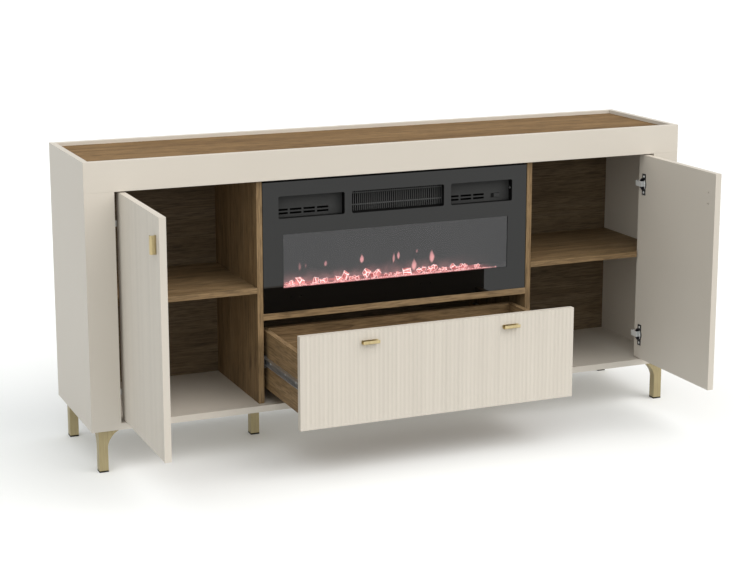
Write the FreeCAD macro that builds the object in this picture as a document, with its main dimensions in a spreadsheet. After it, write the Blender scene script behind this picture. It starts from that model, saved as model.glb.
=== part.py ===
import FreeCAD, Part
import math
import os
import Sketcher

# A low media cabinet with an electric fireplace in its middle bay.
# Millimetres. X = 0 is the middle of the cabinet, Y = 0 the front of its face frame
# (+Y runs to the back) and Z = 0 the floor. The doors stand open at a right angle and
# the drawer is pulled out, as the cabinet was photographed.

SIZES = {
    # Carcass
    "width": 1800.0,
    "depth": 385.0,
    "height": 846.0,
    "leg_height": 118.0,
    "panel": 16.0,
    "base_panel": 18.0,
    "stile_width": 81.0,
    "rail_height": 82.0,
    "back_rim_height": 80.0,
    "top_recess": 10.0,
    "top_panel": 18.0,
    "back_sheet": 3.0,
    "back_rebate": 8.0,
    "sheet_play": 0.5,
    "inner_setback": 20.0,
    "niche_width": 812.0,
    "insert_share": 0.346,
    "shelf_share": 0.46,
    "shelf_play": 0.5,
    "shelf_notch": 6.0,
    "shelf_clear": 3.0,
    "cable_slot_width": 320.0,
    "cable_slot_height": 90.0,
    "cable_slot_corner": 20.0,
    "cable_slot_drop": 70.0,
    # Shelf pins
    "pin_diameter": 5.0,
    "pin_grip": 9.0,
    "pin_reach": 8.0,
    "pin_edge": 45.0,
    "pin_play": 0.05,
    # Legs
    "leg_side": 25.0,
    "foot_height": 4.0,
    "leg_inset_side": 21.0,
    "leg_inset_front": 13.0,
    "gusset_reach": 35.0,
    "gusset_drop": 46.0,
    "gusset_tip": 3.0,
    "gusset_radius": 58.0,
    "middle_leg_inset": 21.0,
    "middle_leg_setback": 164.0,
    # Fluted fronts
    "front_thickness": 18.0,
    "reveal": 3.0,
    "front_overlap": 1.0,
    "door_overlap": 4.0,
    "flute_pitch": 12.3,
    "flute_width": 10.3,
    "flute_depth": 1.0,
    "flute_margin": 4.0,
    # Channel handles
    "handle_length": 48.0,
    "handle_width": 10.0,
    "handle_rise": 15.0,
    "handle_gauge": 2.0,
    "handle_bend": 4.0,
    "handle_screws": 32.0,
    "screw_hole": 5.0,
    "door_handle_edge": 34.0,
    "door_handle_drop": 73.0,
    "drawer_handle_drop": 32.0,
    "drawer_handle_inset": 198.0,
    # Cup hinges
    "hinge_low_rise": 73.0,
    "hinge_high_drop": 88.0,
    "cup_diameter": 35.0,
    "cup_depth": 12.0,
    "cup_wall": 1.0,
    "cup_edge": 5.0,
    "cup_seat": 0.05,
    "flange_height": 64.0,
    "flange_width": 18.0,
    "flange_offset": 6.0,
    "flange_gauge": 1.2,
    "hinge_pin": 3.0,
    "hinge_pin_depth": 10.4,
    "hinge_pin_inset": 19.5,
    "hinge_fit": 0.06,
    "barrel_wall": 1.3,
    "arm_height": 16.0,
    "arm_gauge": 2.5,
    "arm_rise": 13.7,
    "arm_back": 22.5,
    "arm_block": 33.0,
    "plate_height": 50.0,
    "plate_edge": 4.0,
    # Drawer
    "drawer_back_gap": 34.0,
    "drawer_headroom": 36.0,
    "drawer_side_rise": 36.0,
    "drawer_board": 16.0,
    "drawer_floor": 3.0,
    "drawer_floor_rise": 12.0,
    "drawer_groove": 6.0,
    "groove_play": 0.3,
    "drawer_cap": 5.0,
    # Ball-bearing runners
    "runner_gap": 12.7,
    "runner_end": 6.0,
    "runner_overlap": 59.0,
    "runner_height": 35.0,
    "runner_lip": 3.6,
    "runner_web": 1.2,
    "runner_reach": 9.5,
    "runner_play": 0.4,
    "runner_setback": 2.0,
    "slide_height": 19.0,
    "cage_gauge": 0.8,
    "cage_end": 4.5,
    "ball_play": 0.3,
    # Fireplace insert
    "glass_setback": 1.0,
    "glass": 4.0,
    "glass_play": 2.0,
    "glass_drop": 9.0,
    "glass_lift": 1.0,
    "window_side": 61.0,
    "window_rise": 68.0,
    "window_gap": 45.0,
    "vent_drop": 40.0,
    "vent_height": 62.0,
    "vent_corner": 5.0,
    "vent_side": 48.0,
    "vent_gap": 22.0,
    "vent_middle": 141.0,
    "vent_margin": 1.0,
    "housing_depth": 150.0,
    "housing_headroom": 46.0,
    "housing_play": 10.0,
    "housing_wall": 1.5,
    "pan_depth": 20.0,
    "pan_flange": 2.5,
    "louvre_length": 34.0,
    "louvre_height": 5.5,
    "louvre_pitch": 40.0,
    "louvre_rows": 10.0,
    "louvre_rise": 10.0,
    "louvre_start": 19.0,
    "grille_setback": 11.0,
    "grille_gauge": 2.0,
    "grille_pitch": 5.9,
    "grille_slot": 3.7,
    "grille_bar": 3.0,
    "grille_bar_high": 52.0,
    "grille_bar_low": 19.0,
    "rocker_width": 25.0,
    "rocker_height": 11.0,
    "rocker_stand": 2.5,
    "rocker_dip": 1.4,
    "rocker_tail": 5.0,
    "rocker_tilt": 7.0,
    "rocker_pivot": 2.5,
    "rocker_pin": 2.0,
    "rocker_play": 0.9,
    "rocker_side": 43.0,
    "rocker_rise": 15.0,
    # Flame works
    "sheet_metal": 1.2,
    "tray_front": 5.0,
    "tray_back_gap": 22.0,
    "tray_height": 63.5,
    "tray_end_play": 10.0,
    "ledge_depth": 66.0,
    "crystal_base": 16.0,
    "crystal_pitch": 24.0,
    "crystal_height": 20.0,
    "screen": 3.0,
    "screen_gap": 1.0,
    "screen_margin": 32.0,
    "spinner_rod": 6.0,
    "spinner_back": 15.0,
    "spinner_rise": 78.5,
    "spinner_flag": 18.0,
    "spinner_pitch": 44.0,
    "spinner_motor": 24.0,
    "spinner_motor_length": 22.0,
    "shaft_fit": 0.08,
    "light_strip_width": 12.0,
    "light_strip_gauge": 1.6,
    # Fan heater
    "duct_back_gap": 23.0,
    "element_gap": 30.0,
    "element_depth": 15.0,
    "element_pitch": 7.0,
    "element_slot": 4.0,
    "fan_back": 45.5,
    "fan_radius": 29.0,
    "fan_hub": 20.0,
    "fan_end_gap": 30.0,
    "fan_disc": 2.0,
    "fan_blade": 1.5,
    "fan_shaft": 6.0,
    "fan_motor": 46.0,
    "fan_motor_length": 40.0,
    "gland_diameter": 18.0,
    "gland_bore": 8.0,
    "gland_length": 12.0,
    "gland_side": 96.0,
    "gland_rise": 30.0,
}

FAN_BLADES = 22
BALLS_PER_ROW = 4
LOUVRE_COLUMNS = {-1: 4, 1: 3}
SIDES = {"left": -1, "right": 1}
PLANES = {"XY": ("XY_Plane", 1), "XZ": ("XZ_Plane", -1), "YZ": ("YZ_Plane", 1)}


class Length:
    """A number together with the sheet expression that gives it."""

    def __init__(self, text, value):
        self.text = text
        self.value = value

    def joined(self, sign, other, value):
        return Length("(%s %s %s)" % (self.text, sign, as_length(other).text), value)

    def __add__(self, other):
        return self.joined("+", other, self.value + as_length(other).value)

    def __sub__(self, other):
        return self.joined("-", other, self.value - as_length(other).value)

    def __mul__(self, other):
        return self.joined("*", other, self.value * as_length(other).value)

    def __truediv__(self, other):
        return self.joined("/", other, self.value / as_length(other).value)

    def __neg__(self):
        return Length("(0 - %s)" % self.text, -self.value)

    def __radd__(self, other):
        return as_length(other) + self

    def __rsub__(self, other):
        return as_length(other) - self

    def __rmul__(self, other):
        return as_length(other) * self


def as_length(number):
    if isinstance(number, Length):
        return number
    return Length("(%r)" % float(number), float(number))


def whole(length):
    """The number of whole times, rounded down."""
    return Length("floor(%s)" % length.text, math.floor(length.value))


doc = FreeCAD.newDocument("MediaCabinet")
sheet = doc.addObject("Spreadsheet::Sheet", "Sizes")


class Dimensions:
    """The driving sizes, each a cell of the sheet under its own name."""

    def __init__(self, sizes):
        for row, (name, value) in enumerate(sizes.items(), 1):
            sheet.set("A%d" % row, name)
            sheet.set("B%d" % row, str(value))
            sheet.setAlias("B%d" % row, name)
            setattr(self, name, Length("Sizes." + name, value))


d = Dimensions(SIZES)
doc.recompute()
nodes = []


def bind(thing, path, length):
    thing.setExpression(path, as_length(length).text)


def node(thing, label):
    """Name a finished sub-part and remember it for the export."""
    thing.Label = label
    nodes.append(thing)
    return thing


# Building blocks


def box(x, y, z):
    """A board between two planes on each axis."""
    block = doc.addObject("Part::Box", "Board")
    for path, (low, high) in {"Length": x, "Width": y, "Height": z}.items():
        bind(block, path, as_length(high) - low)
    for path, (low, high) in {"x": x, "y": y, "z": z}.items():
        bind(block, "Placement.Base." + path, low)
    return block


def rod(axis, centre, radius, start, length):
    """A round bar along X, Y or Z; centre gives its three coordinates but for start."""
    turns = {
        "X": FreeCAD.Rotation(FreeCAD.Vector(0, 1, 0), 90),
        "Y": FreeCAD.Rotation(FreeCAD.Vector(1, 0, 0), -90),
        "Z": FreeCAD.Rotation(),
    }
    bar = doc.addObject("Part::Cylinder", "Bar")
    bar.Placement = FreeCAD.Placement(FreeCAD.Vector(), turns[axis])
    bind(bar, "Radius", radius)
    bind(bar, "Height", length)
    place = dict(zip([a for a in "XYZ" if a != axis], centre))
    place[axis] = start
    for a in "XYZ":
        bind(bar, "Placement.Base." + a.lower(), place[a])
    return bar


def cut(base, *tools):
    for tool in tools:
        result = doc.addObject("Part::Cut", "Cut")
        result.Base = base
        result.Tool = tool
        base = result
    return base


def fuse(base, *others):
    for other in others:
        result = doc.addObject("Part::Fuse", "Fuse")
        result.Base = base
        result.Tool = other
        base = result
    return base


def group(label, things):
    """Equal pieces that share one node as separate solids."""
    bundle = doc.addObject("Part::Compound", "Group")
    bundle.Links = things
    return node(bundle, label)


def new_body():
    return doc.addObject("PartDesign::Body", "Body")


def origin_feature(body, role):
    return next(f for f in body.Origin.OriginFeatures if f.Role == role)


def new_sketch(body, plane, level, centre=(0, 0)):
    """A sketch parallel to a main plane, at a level along the plane's third axis."""
    role, sign = PLANES[plane]
    sketch = body.newObject("Sketcher::SketchObject", "Sketch")
    sketch.AttachmentSupport = [(origin_feature(body, role), "")]
    sketch.MapMode = "FlatFace"
    bind(sketch, "AttachmentOffset.Base.x", centre[0])
    bind(sketch, "AttachmentOffset.Base.y", centre[1])
    bind(sketch, "AttachmentOffset.Base.z", sign * as_length(level))
    sketch.addProperty("App::PropertyString", "Plane")
    sketch.Plane = plane
    return sketch


def hold(sketch, kind, geometry, point, length):
    """Fix one coordinate of a point to a length from the sheet."""
    length = as_length(length)
    index = sketch.addConstraint(Sketcher.Constraint(kind, -1, 1, geometry, point, length.value))
    bind(sketch, "Constraints[%d]" % index, length)


def hold_radius(sketch, geometry, radius):
    index = sketch.addConstraint(Sketcher.Constraint("Radius", geometry, as_length(radius).value))
    bind(sketch, "Constraints[%d]" % index, radius)


def arc_between(start, end, radius, turn):
    """Arc from start to end that turns left (+1) or right (-1), shorter than half a circle."""
    chord = end - start
    middle = (start + end) * 0.5
    height = math.sqrt(radius * radius - chord.Length * chord.Length / 4)
    side = FreeCAD.Vector(-chord.y, chord.x, 0).normalize()
    centre = middle + side * (height * turn)
    first, last = (start, end) if turn > 0 else (end, start)
    angles = [math.atan2(p.y - centre.y, p.x - centre.x) for p in (first, last)]
    if angles[1] < angles[0]:
        angles[1] += 2 * math.pi
    circle = Part.Circle(centre, FreeCAD.Vector(0, 0, 1), radius)
    return Part.ArcOfCircle(circle, angles[0], angles[1])


def outline(sketch, points, arcs=None):
    """A closed outline. arcs gives, for the side after a point, its radius and turn."""
    arcs = arcs or {}
    points = [(as_length(x), as_length(y)) for x, y in points]
    corners = [FreeCAD.Vector(x.value, y.value, 0) for x, y in points]
    first = sketch.GeometryCount
    ends = []
    for i, start in enumerate(corners):
        end = corners[(i + 1) % len(corners)]
        if i in arcs:
            radius, turn = arcs[i]
            sketch.addGeometry(arc_between(start, end, as_length(radius).value, turn))
            ends.append((1, 2) if turn > 0 else (2, 1))
        else:
            sketch.addGeometry(Part.LineSegment(start, end))
            ends.append((1, 2))
    for i in range(len(points)):
        after = (i + 1) % len(points)
        sketch.addConstraint(
            Sketcher.Constraint("Coincident", first + i, ends[i][1], first + after, ends[after][0])
        )
    for i, (x, y) in enumerate(points):
        hold(sketch, "DistanceX", first + i, ends[i][0], x)
        hold(sketch, "DistanceY", first + i, ends[i][0], y)
    for i, (radius, turn) in arcs.items():
        hold_radius(sketch, first + i, radius)
    return sketch


def rectangle(sketch, x, y):
    return outline(sketch, [(x[0], y[0]), (x[1], y[0]), (x[1], y[1]), (x[0], y[1])])


def rounded_rectangle(sketch, x, y, corner):
    points = [
        (x[0] + corner, y[0]), (x[1] - corner, y[0]),
        (x[1], y[0] + corner), (x[1], y[1] - corner),
        (x[1] - corner, y[1]), (x[0] + corner, y[1]),
        (x[0], y[1] - corner), (x[0], y[0] + corner),
    ]
    return outline(sketch, points, {i: (corner, 1) for i in (1, 3, 5, 7)})


def circle(sketch, x, y, radius):
    centre = FreeCAD.Vector(as_length(x).value, as_length(y).value, 0)
    normal = FreeCAD.Vector(0, 0, 1)
    index = sketch.addGeometry(Part.Circle(centre, normal, as_length(radius).value))
    hold(sketch, "DistanceX", index, 3, x)
    hold(sketch, "DistanceY", index, 3, y)
    hold_radius(sketch, index, radius)
    return sketch


def extruded(body, kind, sketch, length, toward):
    """Pad or Pocket a sketch along its third axis, towards + or -."""
    feature = body.newObject(kind, "Feature")
    feature.Profile = sketch
    bind(feature, "Length", length)
    along_normal = PLANES[sketch.Plane][1] == toward
    feature.Reversed = along_normal if kind == "PartDesign::Pocket" else not along_normal
    body.Tip = feature
    return feature


def pad(body, sketch, length, toward=1):
    return extruded(body, "PartDesign::Pad", sketch, length, toward)


def pocket(body, sketch, length, toward):
    return extruded(body, "PartDesign::Pocket", sketch, length, toward)


def repeat(body, feature, axis, spacing, count):
    """Copies of a feature at even spacing along a main axis."""
    pattern = body.newObject("PartDesign::LinearPattern", "Row")
    pattern.Originals = [feature]
    pattern.Direction = (origin_feature(body, axis + "_Axis"), [""])
    bind(pattern, "Length", spacing * (count - 1))
    bind(pattern, "Occurrences", count)
    body.Tip = pattern
    return pattern


# Levels and faces that several pieces share

half = d.width / 2
inside = half - d.panel
base_top = d.leg_height + d.base_panel
rail_low = d.height - d.rail_height
top_face = d.height - d.top_recess
top_under = top_face - d.top_panel
back_face = d.depth - d.back_sheet
rim_face = d.depth - d.panel
rim_low = d.height - d.back_rim_height
opening_edge = half - d.stile_width
niche = d.niche_width / 2
divider_outer = niche + d.panel
bay_height = top_under - base_top
insert_low = base_top + bay_height * d.insert_share
insert_top = insert_low + d.base_panel
shelf_low = base_top + bay_height * d.shelf_share

front_low = base_top + d.reveal
door_high = rail_low - d.reveal
drawer_half = niche + d.front_overlap
door_hinge_edge = opening_edge - d.reveal
door_width = door_hinge_edge - divider_outer + d.door_overlap
pin_x = door_hinge_edge - d.hinge_pin_inset
pin_y = d.hinge_pin_depth
door_outer = pin_x + d.hinge_pin_depth
door_inner = door_outer - d.front_thickness
door_back = pin_y + d.hinge_pin_inset
door_free = door_back - door_width
hinge_levels = (front_low + d.hinge_low_rise, door_high - d.hinge_high_drop)
door_handle_z = door_high - d.door_handle_drop
door_handle_y = door_free + d.door_handle_edge

drawer_depth = back_face - d.front_thickness - d.drawer_back_gap
runner_length = drawer_depth - d.runner_end
runner_front = d.inner_setback + d.runner_setback
drawer_pull = runner_length - d.runner_overlap
drawer_front_y = -drawer_pull
drawer_inner_y = drawer_front_y + d.front_thickness
drawer_high = insert_top + d.drawer_cap
drawer_handle_z = drawer_high - d.drawer_handle_drop
drawer_handle_x = drawer_half - d.drawer_handle_inset
box_half = niche - d.runner_gap
box_low = base_top + d.drawer_side_rise
box_high = insert_low - d.drawer_headroom
box_back = drawer_inner_y + drawer_depth
runner_z = (box_low + box_high) / 2

glass_front = d.inner_setback + d.glass_setback
glass_back = glass_front + d.glass
glass_low = insert_top + d.glass_lift
housing_high = top_under - d.housing_headroom
glass_high = rail_low - d.glass_drop
vent_high = glass_high - d.vent_drop
vent_low = vent_high - d.vent_height
window_low = insert_top + d.window_rise
window_high = vent_low - d.window_gap
window_half = niche - d.window_side
vent_outer = niche - d.vent_side
vent_inner = d.vent_middle + d.vent_gap
vents = {
    "left": (-vent_outer, -vent_inner),
    "middle": (-d.vent_middle, d.vent_middle),
    "right": (vent_inner, vent_outer),
}
housing_half = niche - d.housing_play
housing_back = glass_back + d.housing_depth
lining = glass_back + d.housing_wall


def mirrored(sign, points):
    return [(sign * as_length(x), y) for x, y in points]


def span(sign, near, far):
    """Low and high X of a piece that lies between two distances from the middle."""
    if sign > 0:
        return near, far
    return -far, -near


# Carcass


def side_panel(name, sign):
    """Outer side, mitred into the face frame and rebated for the back sheet."""
    body = new_body()
    rebate = inside + d.back_rebate
    points = [(half, 0), (inside, d.panel), (inside, back_face), (rebate, back_face)]
    points += [(rebate, d.depth), (half, d.depth)]
    plan = outline(new_sketch(body, "XY", d.leg_height), mirrored(sign, points))
    pad(body, plan, d.height - d.leg_height)
    shelf_pin_holes(body, sign * inside, sign)
    node(body, name + "_side_panel")


def shelf_pin_holes(body, face, toward):
    """Two blind holes for the pins that carry a shelf, drilled from a face."""
    holes = new_sketch(body, "YZ", face)
    for y in (d.inner_setback + d.pin_edge, back_face - d.pin_edge):
        circle(holes, y, shelf_low - d.pin_diameter / 2, d.pin_diameter / 2 + d.pin_play)
    pocket(body, holes, d.pin_grip + d.pin_play, toward)


def stile(name, sign):
    """Upright of the face frame, mitred to the side panel."""
    body = new_body()
    points = [(half, 0), (opening_edge, 0), (opening_edge, d.panel), (inside, d.panel)]
    plan = outline(new_sketch(body, "XY", base_top), mirrored(sign, points))
    pad(body, plan, rail_low - base_top)
    node(body, name + "_stile")


def front_rail():
    """Top rail of the face frame, mitred at both ends."""
    body = new_body()
    points = [(-half, 0), (half, 0), (inside, d.panel), (-inside, d.panel)]
    pad(body, outline(new_sketch(body, "XY", rail_low), points), d.rail_height)
    node(body, "front_rail")


def bottom_panel():
    """Floor of the carcass, with its front edge run out to the mitred corners."""
    body = new_body()
    points = [(-half, 0), (half, 0), (inside, d.panel), (inside, d.depth)]
    points += [(-inside, d.depth), (-inside, d.panel)]
    pad(body, outline(new_sketch(body, "XY", d.leg_height), points), d.base_panel)
    rebate = new_sketch(body, "XY", base_top - d.back_rebate)
    rectangle(rebate, (-half, half), (back_face, d.depth + d.back_sheet))
    pocket(body, rebate, d.back_rebate, 1)
    node(body, "bottom_panel")


def back_rim():
    """Rear rail level with the front one; the back sheet laps into its lower edge."""
    body = new_body()
    lap = rim_low + d.back_rebate
    points = [(rim_face, rim_low), (back_face, rim_low), (back_face, lap)]
    points += [(d.depth, lap), (d.depth, d.height), (rim_face, d.height)]
    pad(body, outline(new_sketch(body, "YZ", -inside), points), inside * 2)
    node(body, "back_rim")


def divider(name, sign):
    """Upright between two bays, notched round the rear rail."""
    body = new_body()
    points = [(d.inner_setback, base_top), (back_face, base_top), (back_face, rim_low)]
    points += [(rim_face, rim_low), (rim_face, top_under), (d.inner_setback, top_under)]
    start = span(sign, niche, divider_outer)[0]
    pad(body, outline(new_sketch(body, "YZ", start), points), d.panel)
    shelf_pin_holes(body, sign * divider_outer, -sign)
    node(body, name + "_divider")


def shelves_and_top():
    """Boards of the bays. The side shelves are notched where an open door's edge swings."""
    for name, sign in SIDES.items():
        x = span(sign, divider_outer + d.shelf_play, inside - d.shelf_play)
        y = (d.inner_setback, back_face - d.shelf_play)
        z = (shelf_low, shelf_low + d.panel)
        notch_x = span(sign, door_inner - d.shelf_notch, inside)
        notch_y = (d.inner_setback, door_back + d.shelf_clear)
        node(cut(box(x, y, z), box(notch_x, notch_y, z)), name + "_shelf")
    y = (d.inner_setback, back_face)
    node(box((-niche, niche), y, (insert_low, insert_top)), "insert_shelf")
    node(box((-inside, inside), (d.panel, rim_face), (top_under, top_face)), "top_panel")


def back_panel():
    """Thin back sheet with a rounded slot behind the fireplace for its air and its lead."""
    body = new_body()
    edge = inside + d.back_rebate - d.sheet_play
    low = base_top - d.back_rebate + d.sheet_play
    high = rim_low + d.back_rebate - d.sheet_play
    pad(body, rectangle(new_sketch(body, "XZ", back_face), (-edge, edge), (low, high)), d.back_sheet)
    slot = new_sketch(body, "XZ", back_face)
    slot_high = rim_low - d.cable_slot_drop
    x = (-(d.cable_slot_width / 2), d.cable_slot_width / 2)
    rounded_rectangle(slot, x, (slot_high - d.cable_slot_height, slot_high), d.cable_slot_corner)
    pocket(body, slot, d.back_sheet, 1)
    node(body, "back_panel")


def shelf_pins():
    """Round pins, half in the upright and half under the shelf."""
    pins = []
    for sign in SIDES.values():
        for face, outward in ((divider_outer, -1), (inside, 1)):
            x = span(sign, face - d.pin_reach, face + d.pin_grip)
            if outward < 0:
                x = span(sign, face - d.pin_grip, face + d.pin_reach)
            for y in (d.inner_setback + d.pin_edge, back_face - d.pin_edge):
                centre = (y, shelf_low - d.pin_diameter / 2)
                pins.append(rod("X", centre, d.pin_diameter / 2, x[0], x[1] - x[0]))
    group("shelf_pins", pins)


# Legs


def gusset(near, toward):
    """Outline of a post whose top flares out on one side along a hollow curve."""
    far = near + d.leg_side
    flare, plain = (far, near) if toward > 0 else (near, far)
    tip = flare + toward * d.gusset_reach
    top = d.leg_height
    root = top - d.gusset_drop
    points = [(plain, d.foot_height), (flare, d.foot_height), (flare, root)]
    points += [(tip, top - d.gusset_tip), (tip, top), (plain, top)]
    return points, {2: (d.gusset_radius, -toward)}


def corner_leg(name, x_sign, y_low, y_sign):
    """Square post with two flares, one towards the middle and one along the side."""
    body = new_body()
    x_low = span(x_sign, half - d.leg_inset_side - d.leg_side, half - d.leg_inset_side)[0]
    points, arcs = gusset(x_low, -x_sign)
    pad(body, outline(new_sketch(body, "XZ", y_low), points, arcs), d.leg_side)
    points, arcs = gusset(y_low, y_sign)
    pad(body, outline(new_sketch(body, "YZ", x_low), points, arcs), d.leg_side)
    node(body, name + "_leg")


def legs():
    front = d.leg_inset_front
    rear = d.depth - d.leg_inset_front - d.leg_side
    feet = []
    for name, sign in SIDES.items():
        corner_leg("front_" + name, sign, front, 1)
        corner_leg("rear_" + name, sign, rear, -1)
        x = span(sign, half - d.leg_inset_side - d.leg_side, half - d.leg_inset_side)
        feet += [foot_cap(x[0], front), foot_cap(x[0], rear)]
    posts = []
    for sign in SIDES.values():
        middle = niche - d.middle_leg_inset
        x = span(sign, middle - d.leg_side / 2, middle + d.leg_side / 2)
        y = (d.middle_leg_setback, d.middle_leg_setback + d.leg_side)
        posts.append(box(x, y, (d.foot_height, d.leg_height)))
        feet.append(foot_cap(x[0], d.middle_leg_setback))
    group("middle_legs", posts)
    group("foot_caps", feet)


def foot_cap(x, y):
    return box((x, x + d.leg_side), (y, y + d.leg_side), (as_length(0), d.foot_height))


# Fluted fronts and their handles


def flutes(body, sketch, points, radius_turn, height, axis, width):
    """One shallow cove down the whole front, then its row across the width."""
    outline(sketch, points, {0: radius_turn})
    cove = pocket(body, sketch, height, 1)
    repeat(body, cove, axis, d.flute_pitch, flute_count(width))


def flute_count(width):
    return whole((width - d.flute_margin * 2 - d.flute_width) / d.flute_pitch) + 1


def flute_start(low, width):
    """Middle of the first flute, so that the row is centred."""
    return low + (width - (flute_count(width) - 1) * d.flute_pitch) / 2


flute_radius = (d.flute_width * d.flute_width / 4 + d.flute_depth * d.flute_depth) / (d.flute_depth * 2)


def door_panel(name, sign):
    """Fluted door, bored on its inner face for two hinge cups and two handle screws."""
    body = new_body()
    height = door_high - front_low
    x = span(sign, door_inner, door_outer)
    pad(body, rectangle(new_sketch(body, "XY", front_low), x, (door_free, door_back)), height)
    start = flute_start(door_free, door_width)
    ends = [start - d.flute_width / 2, start + d.flute_width / 2]
    points = [(sign * door_outer, ends[0]), (sign * door_outer, ends[1])]
    cove = new_sketch(body, "XY", front_low)
    flutes(body, cove, points, (flute_radius, -sign), height, "Y", door_width)
    cups = new_sketch(body, "YZ", sign * door_inner)
    for z in hinge_levels:
        circle(cups, door_back - d.cup_edge - d.cup_diameter / 2, z, d.cup_diameter / 2 + d.cup_seat)
    pocket(body, cups, d.cup_depth + d.cup_seat, sign)
    screws = new_sketch(body, "YZ", sign * door_inner)
    for step in (-1, 1):
        circle(screws, door_handle_y, door_handle_z + step * d.handle_screws / 2, d.screw_hole / 2)
    pocket(body, screws, d.front_thickness, sign)
    node(body, name + "_door_panel")


def drawer_front():
    """Fluted drawer front with screw holes for its two handles."""
    body = new_body()
    height = drawer_high - front_low
    width = drawer_half * 2
    y = (drawer_front_y, drawer_inner_y)
    pad(body, rectangle(new_sketch(body, "XY", front_low), (-drawer_half, drawer_half), y), height)
    start = flute_start(-drawer_half, width)
    ends = [start - d.flute_width / 2, start + d.flute_width / 2]
    points = [(ends[0], drawer_front_y), (ends[1], drawer_front_y)]
    cove = new_sketch(body, "XY", front_low)
    flutes(body, cove, points, (flute_radius, -1), height, "X", width)
    screws = new_sketch(body, "XZ", drawer_inner_y)
    for sign in SIDES.values():
        for step in (-1, 1):
            x = sign * drawer_handle_x + step * d.handle_screws / 2
            circle(screws, x, drawer_handle_z, d.screw_hole / 2)
    pocket(body, screws, d.front_thickness, -1)
    node(body, "drawer_front")


def handle_section(sketch, face, out, edge, toward):
    """Section of a channel handle: a base on the face, a floor and a lip round a finger space.

    face is where the base lies and out its outer side; edge is where the channel is open
    and toward leads from there to the floor.
    """
    rise = d.handle_rise
    width = d.handle_width
    gauge = d.handle_gauge
    bend = d.handle_bend
    shape = [
        (0, 0), (0, width), (rise - bend, width), (rise, width - bend), (rise, 0),
        (rise - gauge, 0), (rise - gauge, width - bend), (rise - bend, width - gauge),
        (gauge, width - gauge), (gauge, 0),
    ]
    points = [(face + out * as_length(o), edge + toward * as_length(w)) for o, w in shape]
    turn = out * toward
    return outline(sketch, points, {2: (bend, -turn), 6: (bend - gauge, turn)})


def door_handle(name, sign):
    """Upright handle, closed towards the free edge of the door."""
    body = new_body()
    sketch = new_sketch(body, "XY", door_handle_z - d.handle_length / 2)
    handle_section(sketch, sign * door_outer, sign, door_handle_y + d.handle_width / 2, -1)
    pad(body, sketch, d.handle_length)
    node(body, name + "_door_handle")


def drawer_handles():
    """Two level handles, open at the top."""
    handles = []
    for sign in SIDES.values():
        body = new_body()
        sketch = new_sketch(body, "YZ", sign * drawer_handle_x - d.handle_length / 2)
        handle_section(sketch, drawer_front_y, -1, drawer_handle_z + d.handle_width / 2, -1)
        pad(body, sketch, d.handle_length)
        handles.append(body)
    group("drawer_handles", handles)


# Cup hinges


def hinge_cup(sign, z):
    """Steel cup sunk in the door, with a winged flange and bores for its pin."""
    y = door_back - d.cup_edge - d.cup_diameter / 2
    outer = d.cup_diameter / 2
    floor = door_inner + d.cup_depth
    shell = span(sign, door_inner, floor)
    flange = span(sign, door_inner - d.flange_gauge, door_inner)
    hollow = span(sign, door_inner - d.flange_gauge, floor - d.cup_wall)
    screw_line = y - d.flange_offset
    wing_y = (screw_line - d.flange_width / 2, screw_line + d.flange_width / 2)
    wing_z = (z - d.flange_height / 2, z + d.flange_height / 2)
    solid = fuse(
        rod("X", (y, z), outer, shell[0], shell[1] - shell[0]),
        rod("X", (y, z), outer + d.cup_wall, flange[0], flange[1] - flange[0]),
        box(flange, wing_y, wing_z),
    )
    mouth = rod("X", (y, z), outer - d.cup_wall, hollow[0], hollow[1] - hollow[0])
    bore_radius = d.hinge_pin / 2 + d.hinge_fit
    bore = rod("Z", (sign * pin_x, pin_y), bore_radius, z - d.cup_diameter / 2, d.cup_diameter)
    return cut(solid, mouth, bore)


def hinge_pin(sign, z):
    reach = d.cup_diameter / 2 - d.cup_wall / 2
    return rod("Z", (sign * pin_x, pin_y), d.hinge_pin / 2, z - reach, reach * 2)


def hinge_arm(sign, z):
    """Cranked arm: a barrel on the pin, a neck over the door and a plate on the stile."""
    body = new_body()
    near = pin_x - d.arm_rise
    block_end = inside - d.plate_edge
    block_start = block_end - d.arm_block
    plate_start = opening_edge + d.plate_edge
    plate_y = d.panel
    plate_top = plate_y + d.arm_gauge
    back = plate_y + d.arm_back
    half_gauge = d.arm_gauge / 2
    points = [
        (pin_x, pin_y - half_gauge), (near, pin_y - half_gauge), (near, back),
        (block_end, back), (block_end, plate_y), (plate_start, plate_y),
        (plate_start, plate_top), (block_start, plate_top), (block_start, back - d.arm_gauge),
        (near + d.arm_gauge, back - d.arm_gauge), (near + d.arm_gauge, pin_y + half_gauge),
        (pin_x, pin_y + half_gauge),
    ]
    low = z - d.arm_height / 2
    pad(body, outline(new_sketch(body, "XY", low), mirrored(sign, points)), d.arm_height)
    wings = new_sketch(body, "XY", z - d.plate_height / 2)
    rectangle(wings, span(sign, plate_start, block_end), (plate_y, plate_top))
    pad(body, wings, d.plate_height)
    bore = d.hinge_pin / 2 + d.hinge_fit
    barrel = circle(new_sketch(body, "XY", low), sign * pin_x, pin_y, bore + d.barrel_wall)
    pad(body, barrel, d.arm_height)
    hole = circle(new_sketch(body, "XY", low), sign * pin_x, pin_y, bore)
    pocket(body, hole, d.arm_height, 1)
    return body


def hinges(name, sign):
    group(name + "_hinge_cups", [hinge_cup(sign, z) for z in hinge_levels])
    group(name + "_hinge_pins", [hinge_pin(sign, z) for z in hinge_levels])
    group(name + "_hinge_arms", [hinge_arm(sign, z) for z in hinge_levels])


# Drawer box and runners


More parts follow.
